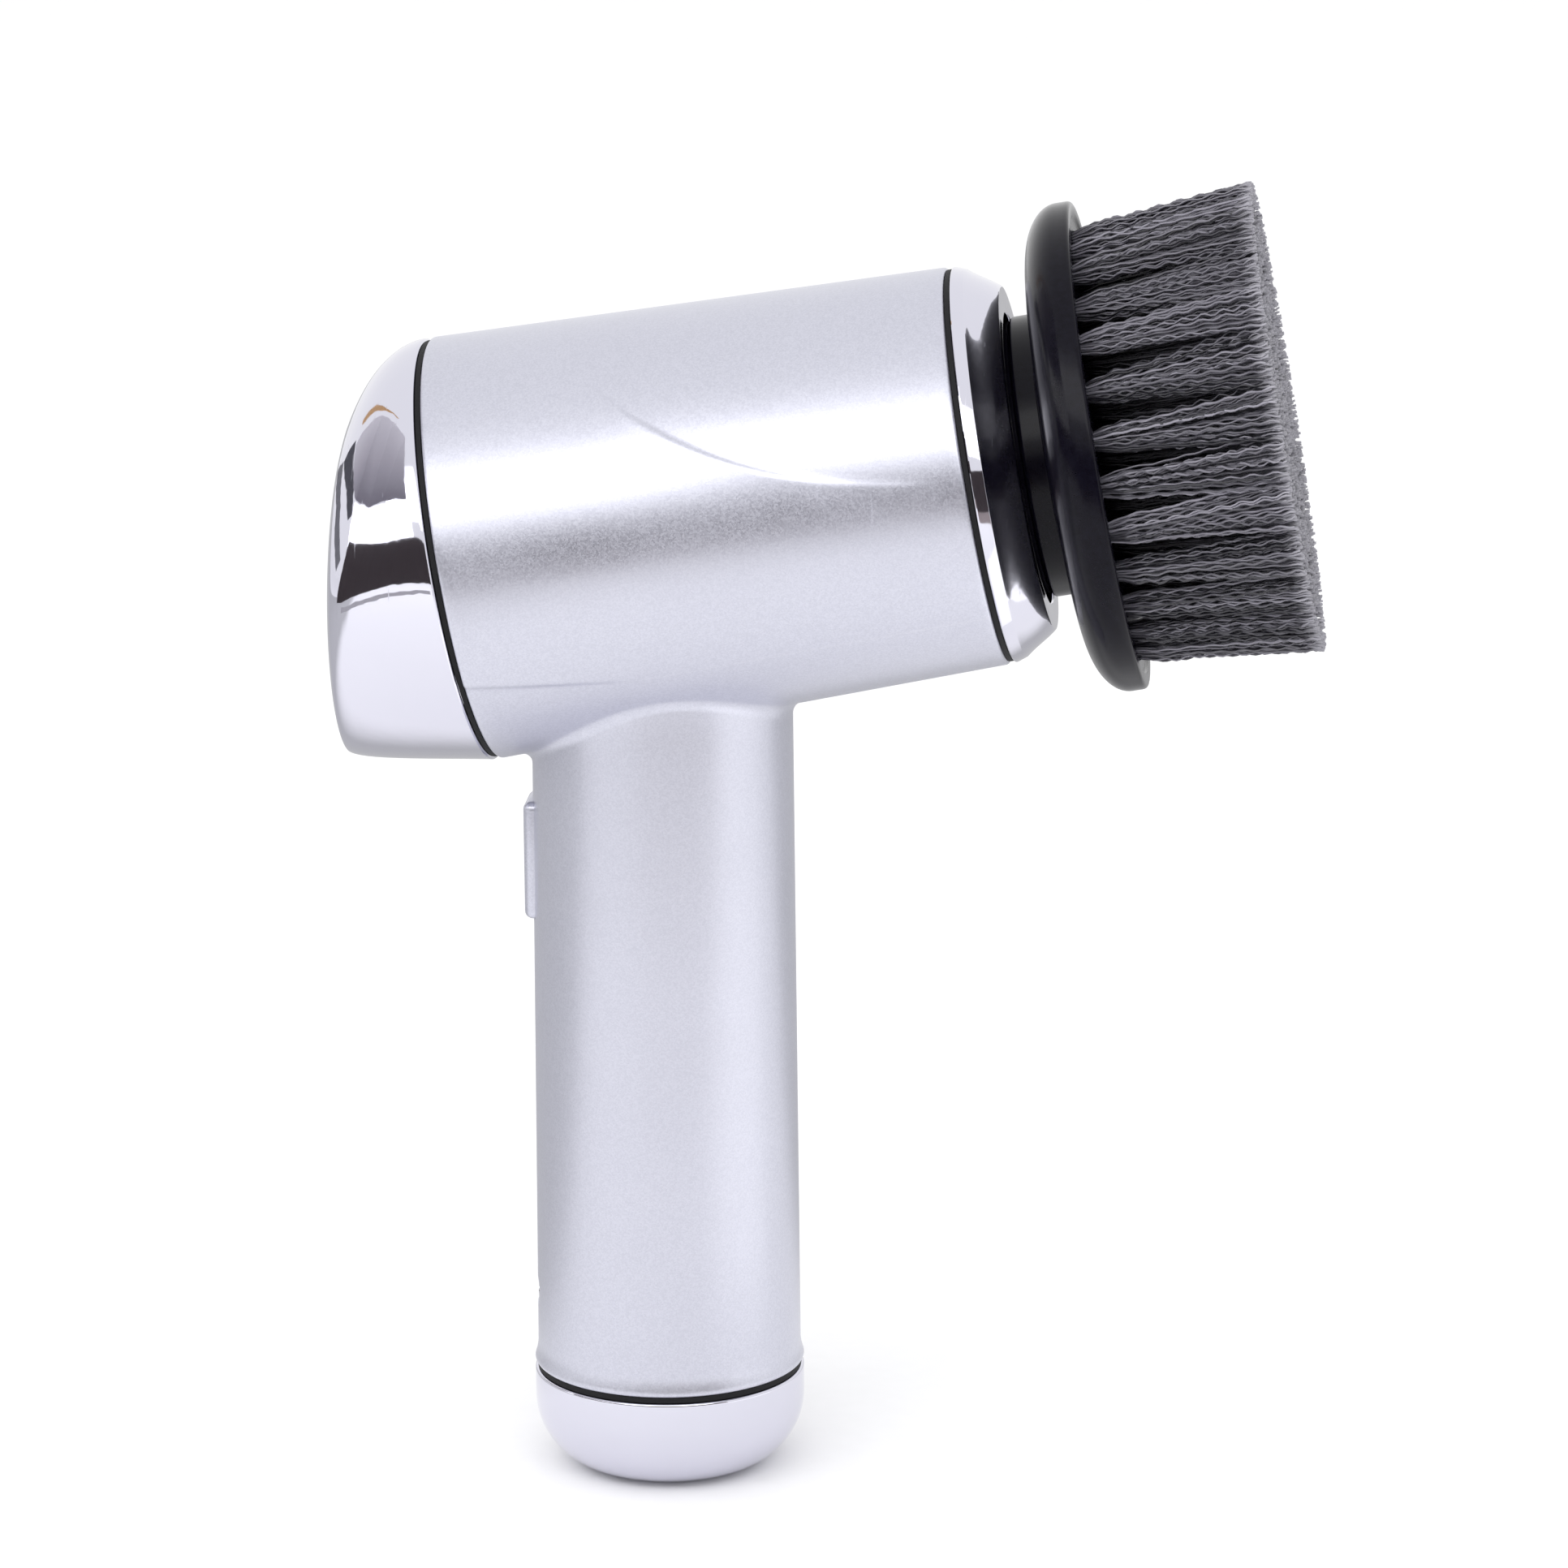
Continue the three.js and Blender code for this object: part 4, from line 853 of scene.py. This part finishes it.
head_rear, disc_front, disc_radius = barrel_reach("brush_backplate")
disc_rear, face_level, web_rear = disc_front - 7 * mm, disc_front - 0.35 * mm, disc_front - 4.3 * mm
neck_step, neck_inner, neck_radius = head_rear + 2.6 * mm, 18.2 * mm, 18.9 * mm
skirt = neck_inner - wall
hub_rear, hub_radius = head_rear + 1 * mm, 9.6 * mm
socket_radius, socket_end = 6.8 * mm, disc_front - 2.7 * mm
round_across, round_along = 8 * mm, 4.9 * mm
shoulder = [(disc_radius - round_across + round_across * sin(a), disc_rear + round_along * (1 - cos(a)), 0)
            for a in [pi / 2 * i / 18 for i in range(2, 19)]]
disc = turned_piece("black_brush_disc", [
    (skirt, head_rear, 0.2 * mm), (neck_inner, head_rear, 0.3 * mm),
    (neck_inner, neck_step - 0.4 * mm, 0.1 * mm),
    (neck_radius, neck_step, 0.35 * mm), (neck_radius, disc_rear - 0.55 * mm, 0.1 * mm),
    (neck_radius + 0.45 * mm, disc_rear - 0.1 * mm, 0.2 * mm), (neck_radius + 1.2 * mm, disc_rear, 0.3 * mm),
    (disc_radius - round_across, disc_rear, 0), *shoulder, (disc_radius, disc_front - 1.5 * mm, 0),
    (disc_radius, disc_front, 1.2 * mm), (disc_radius - 1.9 * mm, disc_front, 0.4 * mm),
    (disc_radius - 2.3 * mm, face_level, 0.2 * mm), (0, face_level, 0),
    (0, socket_end, 0), (socket_radius, socket_end, 0), (socket_radius, hub_rear, 0.2 * mm),
    (hub_radius, hub_rear, 0.3 * mm), (hub_radius, web_rear, 0.3 * mm),
    (skirt, web_rear, 0.3 * mm)], closed=False, sides=192)
disc.data.materials.append(satin_black)
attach(disc, "brush_head")
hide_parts("brush_backplate")
finish_cad(brass, "brass", "hub_socket")

# ---------------------------------------------------------------- bristles
# Crimped nylon filaments, bent double round staples in the disc's holes. The tufts stand in
# rings, tight at the root and opening towards the tips, and the outer ones lean outwards.
# The inner rings are darkened with painted shade, most of all near their roots.

bristle_rear, bristle_tip, tip_radius = barrel_reach("bristles")
outer_ring = 27.6 * mm
hole_depth = 0.3 * mm
filament_radius = 0.19 * mm
golden_turn = 2.39996


def crimped_filament(start, end, bulge, swell, waves, swing, phase, rungs, thickness, rng):
    """Rungs of one three-sided filament, each as its three points and its share of the length."""
    axis = (end - start).normalized()
    side = axis.orthogonal().normalized()
    turn = rng.uniform(0, 2 * pi)
    side = side * cos(turn) + axis.cross(side) * sin(turn)
    other = axis.cross(side)
    rings = []
    for i in range(rungs + 1):
        t = i / rungs
        crimp = swing * min(1, 6 * t)
        middle = start.lerp(end, t) + bulge * (4 * t * (1 - t)) + swell * sin(pi * min(1, t / 0.3))
        middle += side * (crimp * sin(waves * t * 2 * pi + phase))
        middle += other * (0.5 * crimp * cos(waves * t * 2 * pi * 0.9 + phase))
        corners = [side * cos(2 * pi * k / 3) + other * sin(2 * pi * k / 3) for k in range(3)]
        rings.append(([middle + corner * thickness for corner in corners], t))
    return rings


def bristle_ring(name, radius, pitch, tufts, filaments, rungs, spread_out, painted_shade, seed):
    """One ring of tufts as one mesh that knows each point's place along its filament and its shade, where
    painted shade darkens the inner rings and their roots.
    """
    rng = np.random.default_rng(seed)
    lean = (tip_radius - 1.4 * mm - outer_ring) / outer_ring
    half_pitch = pitch / 2 * radius * (1 + lean)
    vertices, faces, lengthwise, shades = [], [], [], []
    for around in tufts:
        # Painted shade: an inner ring's tone is darkened by its share of painted shade.
        tone = rng.uniform(0.3, 0.6) * (1 - painted_shade)
        tuft_phase, sideways = rng.uniform(0, 2 * pi), rng.normal(0, 0.12) * half_pitch
        fullness = rng.uniform(0.95, 1.2) * half_pitch
        for k in range(filaments):
            spread = ((k + 0.5) / filaments) ** 0.5
            spiral = k * golden_turn + rng.uniform(-0.2, 0.2)
            u, v = spread * cos(spiral), spread * sin(spiral)
            out_base, round_base = u * 1.15 * mm, v * 1.15 * mm
            out_tip = u * spread_out + rng.normal(0, 0.3) * mm
            round_tip = sideways + v * fullness + rng.normal(0, 0.35) * mm
            tip_distance = min(radius * (1 + lean) + out_tip, tip_radius - 0.45 * mm)
            reach = bristle_tip - abs(rng.normal(0, 0.3)) * mm - 0.05 * mm
            start = on_barrel(face_level - hole_depth, around + round_base / radius, radius + out_base)
            end = on_barrel(reach, around + round_tip / radius, tip_distance)
            middle_angle = around + (0.6 * round_tip + 0.4 * round_base) / radius
            middle_out = radius * (1 + lean * 0.5) + 0.55 * (out_base + out_tip)
            middle = on_barrel((face_level + reach) / 2, middle_angle, min(middle_out, tip_radius - 1.3 * mm))
            bulge = middle - (start + end) / 2
            swell = (start - on_barrel(face_level - hole_depth, around, radius)) * 0.35
            rings = crimped_filament(
                start, end, bulge, swell, rng.uniform(7.5, 9.5), rng.uniform(0.14, 0.28) * mm,
                tuft_phase + rng.normal(0, 0.8), rungs, filament_radius * rng.uniform(0.85, 1.1), rng)
            shade = min(1, max(0, tone + rng.normal(0, 0.3)))
            first = len(vertices)
            for points, t in rings:
                vertices.extend(points)
                # In the inner rings the place along is bent so that the painted shade at the roots reaches
                # further up.
                lengthwise.extend([t ** 2.2 if painted_shade else 0.16 + 0.84 * t] * 3)
                shades.extend([shade] * 3)
            for i in range(rungs):
                low = first + 3 * i
                faces += [(low + a, low + b, low + 3 + b, low + 3 + a) for a, b in ((0, 1), (1, 2), (2, 0))]
            top = first + 3 * rungs
            faces += [(first + 2, first + 1, first), (top, top + 1, top + 2)]
    ring = new_piece(name, vertices, faces)
    mesh = ring.data
    mesh.polygons.foreach_set("use_smooth", [len(face) == 4 for face in faces])
    mesh.attributes.new("lengthwise", "FLOAT", "POINT").data.foreach_set("value", lengthwise)
    mesh.attributes.new("shade", "FLOAT", "POINT").data.foreach_set("value", shades)
    return ring


def bristle_nylon():
    """Dark grey nylon, paler at the cut tips, each filament a slightly different shade, with painted shade at
    the roots of the inner rings.
    """
    material, nodes, shader = new_material("bristle_nylon", Specular_IOR_Level=0.7)
    lengthwise = nodes.add("Attribute", {"attribute_name": "lengthwise"}).outputs["Fac"]
    shade = nodes.add("Attribute", {"attribute_name": "shade"}).outputs["Fac"]
    place = nodes.add("TexCoord").outputs["Object"]
    fleck = nodes.add("TexNoise", Vector=place, Scale=1800, Detail=2).outputs["Fac"]
    body = nodes.ramp(shade, [(0, (0.014, 0.013, 0.020)), (1, (0.25, 0.24, 0.285))])
    # Painted shade: the colour falls to near black low on each filament of the inner rings.
    past_root_shade = nodes.ramp(lengthwise, [(0, (0, 0, 0)), (0.16, (1, 1, 1))])
    root = nodes.mixed(past_root_shade, (0.006, 0.0055, 0.009, 1), body)
    tip = nodes.ramp(lengthwise, [(0.93, (0, 0, 0)), (1.0, (1, 1, 1))])
    nodes.feed(shader["Base Color"], nodes.mixed(nodes.sum("MULTIPLY", tip, 0.75),
                                                 root, (0.46, 0.45, 0.50, 1)))
    nodes.feed(shader["Roughness"], nodes.sum("ADD", 0.28, nodes.sum("MULTIPLY", fleck, 0.2)))
    nodes.feed(shader["Normal"], raised(nodes, fleck, 0.02 * mm, 0.5))
    return material


nylon = bristle_nylon()
# each ring's radius, its tufts with the first and the step of those made, its filaments and
# rungs, how far its tips spread in millimetres, and how much painted shade darkens it against the outer ring
rings = [
    ("outer_odd", outer_ring, 28, 0, 2, 40, 40, 1.4, 0.0),
    ("outer_even", outer_ring, 28, 1, 2, 40, 40, 1.4, 0.0),
    ("second", outer_ring - 6.2 * mm, 22, 0, 1, 32, 16, 2.7, 0.6),
    ("third", outer_ring - 12.4 * mm, 16, 0, 1, 32, 14, 2.9, 0.5),
    ("fourth", outer_ring - 18.6 * mm, 9, 0, 1, 34, 14, 3.0, 0.4),
    ("centre", outer_ring - 24.6 * mm, 3, 0, 1, 34, 14, 2.6, 0.3)]
for seed, (label, radius, tufts, first, step, filaments, rungs, spread_out, painted_shade) in enumerate(rings):
    rng = np.random.default_rng(60 + seed)
    pitch = 2 * pi / tufts
    places = [pitch * (tuft + rng.uniform(-0.06, 0.06)) for tuft in range(first, tufts, step)]
    ring = bristle_ring(f"bristle_tufts_{label}", radius, pitch, places, filaments, rungs, spread_out * mm,
                        painted_shade, 40 + seed)
    ring.data.materials.append(nylon)
    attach(ring, "brush_head")
    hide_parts("bristles")

# ---------------------------------------------------------------- floor and light
# A seamless pale sheet under a wide overhead softbox, in a white room. Plain cards that only
# reflections see stand round the tool, and give its paint and plating bands to mirror.

floor = new_piece("floor", [(-8, -8, 0), (8, -8, 0), (8, 8, 0), (-8, 8, 0)], [(0, 1, 2, 3)])
paper, nodes, shader = new_material("paper", Roughness=0.9, Specular_IOR_Level=0.0)
place = nodes.add("TexCoord").outputs["Object"]
fibres = nodes.add("TexNoise", Vector=place, Scale=300, Detail=2).outputs["Fac"]
nodes.feed(shader["Base Color"], nodes.ramp(fibres, [(0.3, (0.95, 0.95, 0.955)),
                                                     (0.7, (0.965, 0.965, 0.97))]))
floor.data.materials.append(paper)


light_centre = Vector((0, 0, 133)) * mm


def studio_card(name, lower, upper, colour, upper_colour=None, glow=0.0):
    """A card that only reflections see, between two edges of points, fading from colour to colour."""
    count = len(lower)
    card = new_piece(name, lower + upper, [(i, i + 1, count + i + 1, count + i) for i in range(count - 1)])
    card.data.attributes.new("rise", "FLOAT", "POINT").data.foreach_set("value", [0] * count + [1] * count)
    material, nodes, shader = new_material(name, Roughness=0.9, Emission_Strength=glow)
    rise = nodes.add("Attribute", {"attribute_name": "rise"}).outputs["Fac"]
    shade = nodes.mixed(rise, (*colour, 1), (*(upper_colour or colour), 1))
    nodes.feed(shader["Base Color"], shade)
    nodes.feed(shader["Emission Color"], shade)
    card.data.materials.append(material)
    card.visible_camera = card.visible_shadow = card.visible_diffuse = False
    return card


def hung_card(name, lower, upper, colour, upper_colour=None, glow=0.0, away=0.9):
    """A card whose edges run through directions from the barrel, as azimuths and elevations in degrees."""
    edges = [[towards(radians(azimuth), radians(elevation)) * away + light_centre
              for azimuth, elevation in directions] for directions in (lower, upper)]
    return studio_card(name, *edges, colour, upper_colour, glow)


def bent_card(name, stations, colour, away=0.42):
    """A strip bent round the tool's front, from azimuths with a lower and an upper elevation, in degrees."""
    edges = [[(sin(radians(station[0])) * away, -cos(radians(station[0])) * away,
               light_centre.z + away * tan(radians(station[edge]))) for station in stations]
             for edge in (1, 2)]
    return studio_card(name, *edges, colour)


bent_card("dark_flag", [(-84, -8, 8), (-74, -8, 8.5), (-64, -8, 9.3), (-55, -8, 9.6), (-47, -8, 10),
                        (-40, -8, 11.5), (-33, -8, 13), (-26, -8, 13.5), (-15, -8.3, 12), (0, -8.5, 12),
                        (12, -8.5, 12), (24, -8.5, 12), (36, -8.5, 12), (46, -8.5, 12), (54, -8.5, 12)],
          (0.035, 0.026, 0.028))
bent_card("grey_flag", [(-18, -14, -8.3), (0, -14, -8.5), (12, -14, -8.5), (24, -14, -8.5),
                        (36, -14, -8.5), (54, -14, -8.5)], (0.33, 0.28, 0.27))
bent_card("flag_foot", [(-74, -12.2, -10.2), (-60, -12.4, -10.4), (-40, -13, -11), (-20, -13.5, -11.5)],
          (0.42, 0.41, 0.42))
hung_card("side_fill", [(-84, 5.5), (-64, 7), (-47, 7.5), (-29, 12.5)],
          [(-96, 15.5), (-75, 20), (-56, 26), (-36, 30.5)], (1, 1, 1), glow=1.3)
hung_card("window", [(-94, 16.5), (-75, 20.3), (-63, 25), (-40, 31)],
          [(-128, 12.3), (-115, 35), (-98, 48), (-72, 56)], (0.16, 0.15, 0.175), (0.60, 0.58, 0.60))
hung_card("near_post", [(-140, 2), (-116, 10.5), (-98, 11)],
          [(-131, 11), (-105, 16), (-94, 13.5)], (0.07, 0.07, 0.08))
hung_card("far_post", [(-152, -5), (-131, 1), (-110, 1.5), (-97, 0)],
          [(-141, 1.5), (-120, 6), (-103, 5.5), (-93, 3)], (0.16, 0.16, 0.17))
studio_card("right_fill", [(0.07, -0.10, 0.001), (0.45, -0.35, 0.001)],
            [(0.09, 0, 0.001), (0.5, 0.05, 0.001)], (1, 1, 1), glow=0.28)
hung_card("brown_cable", [(-134.5, 13), (-129, 24), (-115, 40), (-99, 51)],
          [(-131.5, 14.5), (-126, 24.5), (-112, 41), (-97, 53)], (0.5, 0.30, 0.14))

# Behind the tool the floor that reflections see darkens away from the light.
shade_floor = studio_card("shaded_floor", [(-1.3, -1, 0.0005), (1.3, -1, 0.0005)],
                          [(-1.3, 1.3, 0.0005), (1.3, 1.3, 0.0005)], (1, 1, 1))
shaded = Nodes(shade_floor.data.materials[0].node_tree)
spot = shaded.add("SeparateXYZ", Vector=shaded.add("TexCoord").outputs["Object"]).outputs
sideways = shaded.sum("ADD", shaded.sum("MULTIPLY", shaded.sum("MINIMUM", spot["X"], 0), 0.6),
                      shaded.sum("MULTIPLY", shaded.sum("MAXIMUM", spot["X"], 0), 0.3))
depth = shaded.add("MapRange", {"interpolation_type": "SMOOTHSTEP"},
                   Value=shaded.sum("SUBTRACT", spot["Y"], sideways)).outputs["Result"]
depth.node.inputs["From Min"].default_value, depth.node.inputs["From Max"].default_value = 0.03, 0.11
floor_shade = shaded.mixed(depth, (0.955, 0.955, 0.96, 1), (0.48, 0.48, 0.485, 1))
shaded.feed(shaded.tree.nodes["Principled BSDF"].inputs["Base Color"], floor_shade)


def softbox(name, azimuth, elevation, size, away, radiance):
    """A flat diffuse lamp in a direction from the barrel, of a size in metres and a given brightness."""
    direction = towards(radians(azimuth), radians(elevation))
    lamp = bpy.data.objects.new(name, bpy.data.lights.new(name, "AREA"))
    lamp.data.shape, lamp.data.size, lamp.data.size_y = "RECTANGLE", *size
    lamp.data.energy = radiance * pi * size[0] * size[1]
    lamp.location = light_centre + direction * away
    lamp.rotation_euler = (-direction).to_track_quat("-Z", "Y").to_euler()
    lamp.visible_camera = False
    scene.collection.objects.link(lamp)


softbox("key", -8, 35.5, (2.0, 0.41), 1.0, 2.2)
softbox("key_fringe", -8, 51, (2.0, 0.13), 1.0, 0.6)

world = bpy.data.worlds.new("room")
scene.world = world
world.use_nodes = True
world.node_tree.nodes["Background"].inputs["Color"].default_value = (0.995, 0.995, 1.0, 1)
world.node_tree.nodes["Background"].inputs["Strength"].default_value = 1.03
scene.view_settings.view_transform = "Standard"
